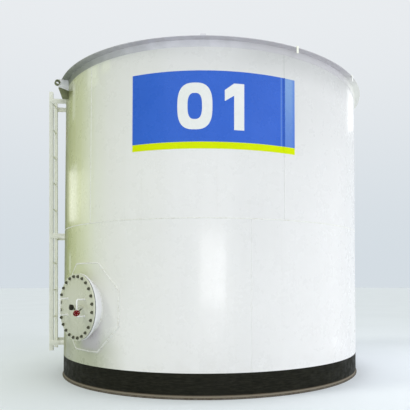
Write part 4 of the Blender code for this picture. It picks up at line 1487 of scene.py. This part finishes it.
# %% Outlet plug
turn = Matrix.Rotation(math.radians(30), 4, "Z")
p = PLUG_RADIUS
plug_outline = [(0.0, PLUG_LENGTH), (p * 0.60, PLUG_LENGTH), (p * 0.86, PLUG_LENGTH - 0.0008),
                (p, PLUG_LENGTH - 0.0035), (p, 0.0035), (p * 0.93, 0.0), (0.0, 0.0)]
plug = turned("plug", plug_outline, sides=6, closed=False,
              place=valve_base @ Matrix.Translation((0, 0, BODY_LENGTH + GAP)) @ turn)
piece("outlet_plug", plug, [plug_iron], ["valve_plug"])
print("outlet plug", len(plug.polygons), "faces")

# %% Ring of the handwheel
WHEEL_RADIUS, WHEEL_RIM, WHEEL_WEB = 0.0255, 0.005, 0.003
WHEEL_HOLES, WHEEL_HOLE_RADIUS, WHEEL_HOLE_CIRCLE = 5, 0.0036, 0.0160
SCALLOPS, SCALLOP_DEPTH = 10, 0.0009
GRIP_END, GRIP_ANGLE = 0.0575, 235.0


def wheel_ring(major=120, minor=16):
    """The wheel's ring, a little thicker and thinner by turns."""
    bm = bmesh.new()
    rings = []
    for x, y in circle(1.0, steps=major):
        bar_radius = WHEEL_RIM + SCALLOP_DEPTH * math.cos(math.atan2(y, x) * SCALLOPS)
        rings.append([])
        for c, s in circle(1.0, steps=minor):
            r = WHEEL_RADIUS - SCALLOP_DEPTH + bar_radius * c
            rings[-1].append(bm.verts.new((r * x, r * y, (WHEEL_RIM - 0.0002) * s)))
    for a, b in zip(rings, rings[1:] + rings[:1]):
        for k in range(minor):
            j = (k + 1) % minor
            bm.faces.new((a[k], b[k], b[j], a[j]))
    return finish_mesh(bm, "ring")


print("handwheel", round(2000 * (WHEEL_RADIUS + WHEEL_RIM)), "mm across")

# %% Handwheel
web = filled("web", [circle(WHEEL_RADIUS - 0.002, steps=72)]
             + [circle(WHEEL_HOLE_RADIUS, x, y)
                for x, y in circle(WHEEL_HOLE_CIRCLE, steps=WHEEL_HOLES)], WHEEL_WEB)
boss = turned("boss", [(0.0, 0.014), (0.0055, 0.014), (0.006, 0.0133), (0.006, 0.0075),
                       (0.0105, 0.0070), (0.011, 0.0062), (0.011, -0.0062),
                       (0.0105, -0.0070), (0.005, -0.0075), (0.005, -HUB_TAIL),
                       (0.0, -HUB_TAIL)], sides=32, closed=False)
grip = turned("grip", [(0.0, WHEEL_RADIUS), (0.0050, WHEEL_RADIUS), (0.0058, 0.035),
                       (0.0060, 0.044), (0.0060, GRIP_END - 0.003), (0.0044, GRIP_END),
                       (0.0, GRIP_END)], sides=24, closed=False)
grip.transform(Matrix.Rotation(math.radians(GRIP_ANGLE), 4, "Z")
               @ Matrix.Rotation(math.radians(90), 4, "Y"))
wheel = merge_meshes("red_handwheel", [wheel_ring(), web, boss, grip])
wheel.transform(stem_axes @ Matrix.Translation((0, 0, WHEEL_REACH)))
piece("red_handwheel", wheel, [wheel_red, bolt_dark], ["valve_handwheel"],
      body="handwheel")
grip_from = len(wheel.polygons) - len(grip.polygons)
for face in wheel.polygons:
    face.material_index = 1 if face.index >= grip_from else 0
print("handwheel", len(wheel.polygons), "faces")

# %% [markdown]
# ## Ladder
#
# The ladder stands off the shell on flat brackets, three to a side. Each side rail is a
# steel angle, cut from an eased outline, and ten round rungs are let in between the
# rails. The rungs repeat, so a Geometry Nodes tree sets one finished rung on a line of
# points.

# %% Where the ladder stands
STILE_LEG, STILE_THICK, STILE_BOTTOM, STILE_TOP = 0.040, 0.005, 0.234, 3.076
BRACKET_LEVELS, BRACKET_HEIGHT, BRACKET_THICK = (0.318, 1.483, 2.973), 0.052, 0.006
ladder_out, lean = outward(LADDER_AZIMUTH), math.radians(LADDER_LEAN)
ladder_side = Vector((0, 0, 1)).cross(ladder_out)
ladder_up = Vector((0, 0, math.cos(lean))) + ladder_out * math.sin(lean)
ladder_frame = axes_frame(ladder_side.cross(ladder_up), ladder_side, ladder_up,
                          ladder_out * LADDER_RADIUS)
print("ladder leans", LADDER_LEAN, "degrees outwards")

# %% Ladder rails and brackets
half, leg = LADDER_WIDTH / 2, STILE_LEG / 2
off_wall = math.sqrt(TANK_RADIUS ** 2 - half ** 2) + 3 * GAP - LADDER_RADIUS
bracket_feet = []
stand = axes_frame(Vector((1, 0, 0)), Vector((0, 0, 1)), Vector((0, -1, 0)), Vector((0, 0, 0)))
middle = Matrix.Translation((0, 0, (STILE_TOP + STILE_BOTTOM) / 2))
tk = STILE_THICK
for side, label in ((1, "front"), (-1, "rear")):
    angle = [(-leg, half - 2 * leg), (-leg, half), (leg, half), (leg, half - tk),
             (tk - leg, half - tk), (tk - leg, half - 2 * leg)]
    angle = [(x, side * y) for x, y in rounded(angle, 0.0024, 3)]
    parts = [cut_plate("rail", angle, STILE_TOP - STILE_BOTTOM, ladder_frame @ middle,
                       edge=0.0)]
    y = side * (half + BRACKET_THICK / 2 - 0.0005)
    for level in BRACKET_LEVELS:
        lo, hi = level - BRACKET_HEIGHT / 2, level + BRACKET_HEIGHT / 2
        near = off_wall - level * math.sin(lean)
        flat = rounded([(near, lo), (leg - 0.002, lo), (leg - 0.002, hi), (near, hi)], 0.003, 3)
        parts.append(cut_plate("arm", flat, BRACKET_THICK, ladder_frame
                               @ Matrix.Translation((0, y, 0)) @ stand, edge=0.0007))
        for face in (-1, 1):
            beside = y + face * (BRACKET_THICK / 2 + 0.001)
            bracket_feet.append(([ladder_frame @ Vector((near + 0.0015, beside, lo + 0.004
                                                         + (hi - lo - 0.008) * k / 6))
                                  for k in range(7)], False))
    piece("ladder_rail_" + label, merge_meshes("ladder_rail_" + label, parts), [ladder_cream],
          ["ladder_stile_" + label])
weld("weld_brackets", bracket_feet, 0.0038, pitch=0.008, seed=41, finish=ladder_cream)
print("rails stand", round(-off_wall, 3), "m off the shell at the floor")

# %% Ladder rungs
RUNG_RADIUS, RUNG_STEP, RUNG_COUNT, RUNG_OUT = 0.0095, 0.300, 10, 0.005
RUNG_DROP = 0.009


def rung_tree():
    tree = new_tree("ladder_rungs", [("Count", "NodeSocketInt", 10),
                                     ("Step", "NodeSocketFloat", 0.3),
                                     ("First Height", "NodeSocketFloat", 0.3),
                                     ("Finish", "NodeSocketMaterial", None)])
    given = node(tree, "NodeGroupInput").outputs

    def upwards(length):
        return node(tree, "ShaderNodeCombineXYZ", {"Z": length}).outputs["Vector"]

    line = node(tree, "GeometryNodeMeshLine",
                {"Count": given["Count"], "Start Location": upwards(given["First Height"]),
                 "Offset": upwards(given["Step"])}, mode="OFFSET")
    spread = node(tree, "GeometryNodeInstanceOnPoints", {"Points": line.outputs["Mesh"],
                                                         "Instance": given["Geometry"]})
    return hand_out(tree, spread.outputs["Instances"], given["Finish"])


reach = LADDER_WIDTH / 2 - STILE_THICK - GAP
collar = RUNG_RADIUS + 0.0028
rung_outline = [(0.0, -reach), (collar, -reach), (collar - 0.0005, -reach + 0.0018),
                (RUNG_RADIUS, -reach + 0.0042), (RUNG_RADIUS, reach - 0.0042),
                (collar - 0.0005, reach - 0.0018), (collar, reach), (0.0, reach)]
one_rung = turned("one_rung", rung_outline, sides=24, closed=False)
one_rung.transform(Matrix.Translation((RUNG_OUT, 0, 0)) @ Matrix.Rotation(math.pi / 2, 4, "X"))
rungs = grown(rung_tree(), one_rung, {"Count": RUNG_COUNT, "Step": RUNG_STEP,
                                      "First Height": RUNG_STEP - RUNG_DROP,
                                      "Finish": ladder_cream})
rungs.name = "ladder_rungs"
rungs.transform(ladder_frame)
piece("ladder_rungs", rungs, [ladder_cream],
      ["ladder_rung_%02d" % (i + 1) for i in range(RUNG_COUNT)])
print("rungs", RUNG_COUNT, len(rungs.polygons), "faces")

# %% [markdown]
# ## Lugs and cleats on the rim
#
# Two lifting lugs sit opposite each other, so that a crane can pick the empty tank up.
# Each has two gusset plates, one below and one above a sloping shelf, and a short length
# of thick pipe as its eye. The upper gusset ends in an arc that follows the pipe. All of
# them are flat outlines that are given a thickness on a sheet that stands on edge against
# the wall. Three small cleats are welded to the edge of the angle.

# %% Outlines of a lug
LIFTING_LUGS, LUG_THICK, LUG_FOOT = (-64.0, 116.0), 0.012, 2.850
LUG_EYE_OUT, LUG_EYE_HEIGHT = 0.107, 3.003
LUG_BOSS_RADIUS, LUG_EYE_RADIUS, LUG_BOSS_HALF = 0.026, 0.0175, 0.024
SHELF_WALL, SHELF_TIP, SHELF_THICK, SHELF_HALF = 2.940, 2.962, 0.008, 0.022
wall, edge = TANK_RADIUS + GAP, TANK_RADIUS + CURB_LEG + GAP
under, tip = RIM_HEIGHT - CURB_THICK - GAP, TANK_RADIUS + GAP + 0.095
eye = (TANK_RADIUS + LUG_EYE_OUT, LUG_EYE_HEIGHT)
shelf_at_wall, shelf_at_tip = SHELF_WALL - SHELF_THICK / 2, SHELF_TIP - SHELF_THICK / 2


def round_the_eye(radius, degrees):
    return [(eye[0] + radius * math.cos(math.radians(a)),
             eye[1] + radius * math.sin(math.radians(a))) for a in degrees]


lower_gusset = [(wall, shelf_at_wall), (wall, LUG_FOOT), (wall + 0.058, LUG_FOOT),
                (tip, 2.948), (tip + 0.0007, shelf_at_tip)]
upper_gusset = [(wall, under), (wall, shelf_at_wall), (tip + 0.0007, shelf_at_tip),
                *round_the_eye(LUG_BOSS_RADIUS - 0.0035, range(244, 108, -9)),
                (tip - 0.010, RIM_HEIGHT), (edge, RIM_HEIGHT), (edge, under)]
shelf_outline = [(wall, SHELF_WALL), (wall, SHELF_WALL - SHELF_THICK),
                 (tip, SHELF_TIP - SHELF_THICK), (tip, SHELF_TIP)]
tube_outline = rounded([(LUG_BOSS_RADIUS, -LUG_BOSS_HALF), (LUG_BOSS_RADIUS, LUG_BOSS_HALF),
                        (LUG_EYE_RADIUS, LUG_BOSS_HALF), (LUG_EYE_RADIUS, -LUG_BOSS_HALF)],
                       0.0015, 3)
wall_seam = [(wall + 0.001, SHELF_WALL + 0.003 + 0.080 * k / 12) for k in range(13)]
eye_seam = round_the_eye(LUG_BOSS_RADIUS + 0.001, range(150, 251, 10))
print("lug outlines have", len(lower_gusset), "and", len(upper_gusset), "points")

# %% Lifting lugs
lug_welds = []
for i, azimuth in enumerate(LIFTING_LUGS):
    place = upright_frame(azimuth)
    low_plate = cut_plate("low_plate", rounded(lower_gusset, 0.002, 2), LUG_THICK, place)
    high_plate = cut_plate("high_plate", rounded(upper_gusset, 0.002, 2), LUG_THICK, place)
    shelf = cut_plate("shelf", shelf_outline, 2 * SHELF_HALF, place)
    tube = turned("eye", tube_outline, sides=64, place=place @ Matrix.Translation((*eye, 0)))
    mesh = merge_meshes("rim_lug_%d" % (i + 1), [low_plate, tube, shelf, high_plate])
    piece("rim_lug_%d" % (i + 1), mesh, [neck_white, lug_painted_shade],
          ["lifting_lug_%d" % (i + 1)])
    # The lower gusset, the eye and the faces that look down carry the olive painted shade.
    olive_end = len(low_plate.polygons) + len(tube.polygons)
    for face in mesh.polygons:
        face.material_index = 1 if face.index < olive_end or face.normal.z < -0.9 else 0
    for z in (-LUG_THICK / 2 - 0.001, LUG_THICK / 2 + 0.001):
        lug_welds += [([place @ Vector((*at, z)) for at in seam], False)
                      for seam in (wall_seam, eye_seam)]
weld("weld_lugs", lug_welds, 0.0045, pitch=0.008, seed=51, finish=neck_white)

# %% Rim cleats
RIM_CLEATS = ((-2.6, 0.024, 0.006, 0.010, rim_leg_shade), (26.1, 0.010, 0.055, 0.010, ladder_cream),
              (55.6, 0.013, 0.055, 0.008, bow_white))
CLEAT_THICK, CLEAT_CORNER = 0.006, 0.004
cleat_welds = []
for i, (azimuth, cw, low, high, finish) in enumerate(RIM_CLEATS):
    name, c = "rim_tab_%d" % (i + 1), CLEAT_CORNER
    cleat = rounded([(-cw, -low), (cw, -low), (cw, high - c), (cw - c, high), (c - cw, high),
                     (-cw, high - c)], 0.003, 3)
    place = wall_frame(azimuth, edge + CLEAT_THICK / 2, RIM_HEIGHT)
    piece(name, cut_plate(name, cleat, CLEAT_THICK, place), [finish],
          ["rim_cleat_%d" % (i + 1)])
    foot = wall_frame(azimuth, edge - 0.0015, RIM_HEIGHT)
    cleat_welds.append(([foot @ Vector((-cw - 0.003 + (2 * cw + 0.006) * k / 6, -0.001, 0))
                         for k in range(7)], False))
weld("weld_cleats", cleat_welds, 0.0032, pitch=0.007, seed=52, finish=ladder_cream)
print("cleats", len(RIM_CLEATS))

# %% [markdown]
# ## Coloured panel
#
# The front of the upper course carries a sign of adhesive film: a blue field with a lime
# stripe below it. Thin films could be painted by a mask in the shell's material, but as
# thin curved sheets they keep a crisp cut edge and a real step. A film can't hide the
# upright weld that it crosses, so a slightly thicker bead in its own colour lies over
# the weld there. A plain tank number stands on the blue, cut from white film: flat
# outlines that are sliced into narrow strips, so that they can follow the wall.

# %% Film sheets
FILM_THICK, FILM_ROWS = 0.0003, 12


def film(name, left, right, z_low, z_high, finish):
    """A curved sheet just off the shell, with both skins and its cut edges."""
    bm = bmesh.new()
    columns = round((right - left) * FACETS_PER_DEGREE)
    rows = [z_low + (z_high - z_low) * k / FILM_ROWS for k in range(FILM_ROWS + 1)]
    inner, outer = ([[bm.verts.new(outward(left + (right - left) * i / columns) * r
                                   + Vector((0, 0, z))) for z in rows]
                     for i in range(columns + 1)]
                    for r in (TANK_RADIUS + FILM_THICK, TANK_RADIUS + 2 * FILM_THICK))
    for skin in (inner, outer):
        for a, b in zip(skin, skin[1:]):
            for k in range(FILM_ROWS):
                bm.faces.new((a[k], b[k], b[k + 1], a[k + 1]))
    loop = ([(i, 0) for i in range(columns)] + [(columns, k) for k in range(FILM_ROWS)]
            + [(i, FILM_ROWS) for i in range(columns, 0, -1)]
            + [(0, k) for k in range(FILM_ROWS, 0, -1)])
    for (i, k), (j, m) in zip(loop, loop[1:] + loop[:1]):
        bm.faces.new((inner[i][k], inner[j][m], outer[j][m], outer[i][k]))
    return piece(name, finish_mesh(bm, name), [finish])


film("panel_blue_film", PANEL_LEFT, PANEL_RIGHT, BLUE_LOW + 0.0005, BLUE_HIGH, film_blue)
film("panel_lime_film", PANEL_LEFT, PANEL_RIGHT, LIME_LOW, BLUE_LOW - 0.0005, film_lime)
for part, low, high, finish in (("blue", BLUE_LOW, BLUE_HIGH, film_blue),
                                ("lime", LIME_LOW, BLUE_LOW, film_lime)):
    weld("film_over_weld_" + part, [upright(KINK_AZIMUTH, low, high, TANK_RADIUS - 0.0013)],
         0.0061, seed=15, finish=finish)
print("panel", round(math.radians(PANEL_RIGHT - PANEL_LEFT) * TANK_RADIUS, 3), "m wide")

# %% Tank number
NUMBER_HEIGHT, NUMBER_STROKE, NOUGHT_WIDTH = 0.400, 0.088, 0.300
NOUGHT_MIDDLE, ONE_LEFT, ONE_FLAG = -0.17, 0.165, 0.080
NUMBER_PLACE = ((PANEL_LEFT + PANEL_RIGHT) / 2, (BLUE_LOW + BLUE_HIGH) / 2)
STRIP = 0.0125


def oval(width, height, steps=64):
    """A squarish oval, as the outer edge of a nought."""
    return [(NOUGHT_MIDDLE + width / 2 * math.copysign(abs(c) ** 0.72, c),
             height / 2 * math.copysign(abs(s) ** 0.72, s)) for c, s in circle(1.0, steps=steps)]


def number_film(name, loops):
    """Fill flat outlines, slice them in strips and bend them round the shell."""
    bm = bmesh.new()
    bm.from_mesh(filled(name, loops, FILM_THICK))
    for k in range(-32, 33):
        everything = bm.verts[:] + bm.edges[:] + bm.faces[:]
        bmesh.ops.bisect_plane(bm, geom=everything, plane_co=(k * STRIP, 0, 0),
                               plane_no=(1, 0, 0))
    azimuth, height = NUMBER_PLACE
    for v in bm.verts:
        r = TANK_RADIUS + 0.0007 + FILM_THICK / 2 + v.co.z
        v.co = (outward(azimuth + math.degrees(v.co.x / TANK_RADIUS)) * r
                + Vector((0, 0, height + v.co.y)))
    return piece(name, finish_mesh(bm, name), [film_white])


top, left, right = NUMBER_HEIGHT / 2, ONE_LEFT, ONE_LEFT + NUMBER_STROKE
number_film("number_nought", [oval(NOUGHT_WIDTH - 2 * thin, NUMBER_HEIGHT - 2 * thin)
                              for thin in (0.0, NUMBER_STROKE)])
number_film("number_one", [[(left, top), (right, top), (right, -top), (left, -top),
                            (left, top - 0.105), (left - ONE_FLAG, top - 0.155),
                            (left - ONE_FLAG, top - 0.060)]])
print("tank number", NUMBER_HEIGHT, "m high")

# %% [markdown]
# ## Studio
#
# The tank stands on a plain pale floor in soft light. A pale sky all round lights it
# evenly, as an open yard does. On the left the sky has a green cast in what it lights and
# in what the gloss paint mirrors, but the camera sees only the plain pale ramp, which is
# what the Light Path node chooses. One large soft panel stands high on the right and one
# low in front, whose mirror image is the soft bright patch on the lower course. Small
# panels behind the tank draw the bright upright lanes near both edges, and a wide soft
# sun from the upper left lifts the rim and the ladder there. A panel that should only
# light, and not show as a mirror image, is hidden from glossy rays.

# %% Floor
FLOOR_RADIUS = 60.0


def pale_floor():
    bm = bmesh.new()
    bmesh.ops.create_circle(bm, cap_ends=True, radius=FLOOR_RADIUS, segments=96)
    mesh = bpy.data.meshes.new("studio_floor")
    bm.to_mesh(mesh)
    bm.free()
    r = Recipe("floor_pale")
    tone = r.mix(r.fade(r.noise(0.6, 3.0, 0.5), 0.3, 0.7), (0.81, 0.85, 0.89),
                 (0.79, 0.83, 0.87))
    r.bump(r.noise(30.0, 3.0, 0.6), 0.1, 0.001)
    mesh.materials.append(r.done(tone, r.fade(r.noise(4.0), 0.3, 0.7, 0.75, 0.9)))
    ob = bpy.data.objects.new("studio_floor", mesh)
    ob.location.z = -0.0005
    bpy.context.scene.collection.objects.link(ob)


pale_floor()
print("floor", 2 * FLOOR_RADIUS, "m across")

# %% Sky
def sky():
    world = bpy.data.worlds.new("studio_sky")
    world.use_nodes = True
    bpy.context.scene.world = world
    tree = world.node_tree

    def eased(value, first, last):
        ramp = node(tree, "ShaderNodeValToRGB", {"Fac": value})
        ramp.color_ramp.interpolation = "EASE"
        for element, (place, colour) in zip(ramp.color_ramp.elements, (first, last)):
            element.position, element.color = place, (*colour, 1.0)
        return ramp.outputs["Color"]

    where = node(tree, "ShaderNodeTexCoord").outputs["Generated"]
    split = node(tree, "ShaderNodeSeparateXYZ", {"Vector": where}).outputs
    sideways = node(tree, "ShaderNodeMapRange", {"Value": split["X"], "From Min": -1.0})
    cast = eased(sideways.outputs["Result"], (0.18, (0.40, 0.44, 0.20)), (0.29, (1.0, 1.0, 1.0)))
    plain = eased(split["Z"], (0.0, (0.66, 0.72, 0.77)), (0.55, (0.82, 0.845, 0.87)))
    both = node(tree, "ShaderNodeMix", {"Factor": 1.0, 6: cast, 7: plain}, data_type="RGBA",
                blend_type="MULTIPLY").outputs[2]
    seen = node(tree, "ShaderNodeLightPath").outputs["Is Camera Ray"]
    shown = node(tree, "ShaderNodeMix", {"Factor": seen, 6: both, 7: plain}, data_type="RGBA")
    feed(tree, tree.nodes["Background"].inputs["Color"], shown.outputs[2])


sky()
print("sky", bpy.context.scene.world.name)

# %% Lights
WHITE, SUNLIT, HAZY = (1.0, 1.0, 1.0), (1.0, 0.99, 0.92), (1.0, 1.0, 0.92)
PANELS = (("key_soft", (5.2, -7.0, 4.4), (0, 0, 1.4), (5.0, 5.0), 120.0, WHITE, False),
          ("front_low", (0.1, -8.5, 1.2), (0.1, 0, 1.0), (2.4, 1.7), 58.0, WHITE, True),
          ("edge_right", (4.8, -0.4, 1.5), (1.4, 0, 1.3), (0.5, 3.0), 46.0, WHITE, False),
          ("gap_left", (-3.66, 0.81, 2.29), (-1.35, -0.93, 1.80), (1.32, 0.77), 4.0, SUNLIT,
           True),
          ("gap_faint", (-3.98, -0.19, 2.27), (-1.20, -1.12, 1.80), (0.78, 0.77), 1.6, HAZY,
           True),
          ("gap_right", (3.26, 1.26, 3.84), (1.45, -0.76, 2.75), (0.86, 0.88), 3.0, WHITE,
           True))


def light_object(name, kind, power, colour, mirrored):
    light = bpy.data.lights.new(name, kind)
    light.energy, light.color = power, colour
    ob = bpy.data.objects.new(name, light)
    ob.visible_glossy = mirrored
    bpy.context.scene.collection.objects.link(ob)
    return ob


for name, at, target, size, power, colour, mirrored in PANELS:
    ob = light_object(name, "AREA", power, colour, mirrored)
    ob.data.shape, (ob.data.size, ob.data.size_y) = "RECTANGLE", size
    ob.location = at
    aim = (Vector(target) - Vector(at)).normalized()
    ob.rotation_euler = aim.to_track_quat("-Z", "Y").to_euler()
sun = light_object("high_left_sun", "SUN", 0.72, (1.0, 0.99, 0.95), False)
sun.data.angle = math.radians(15.0)
sun.rotation_euler = Vector((-0.966, -0.259, 1.0)).to_track_quat("Z", "Y").to_euler()
bpy.context.scene.view_settings.view_transform = "Standard"

# %% [markdown]
# ## Hand over
#
# The last step measures the dressed tank against the imported one, so that the two can be
# compared, and closes the table of pieces and bodies.

# %% Count of pieces and triangles
print("pieces", len(made), "triangles",
      sum(len(p.vertices) - 2 for ob in made for p in ob.data.polygons))
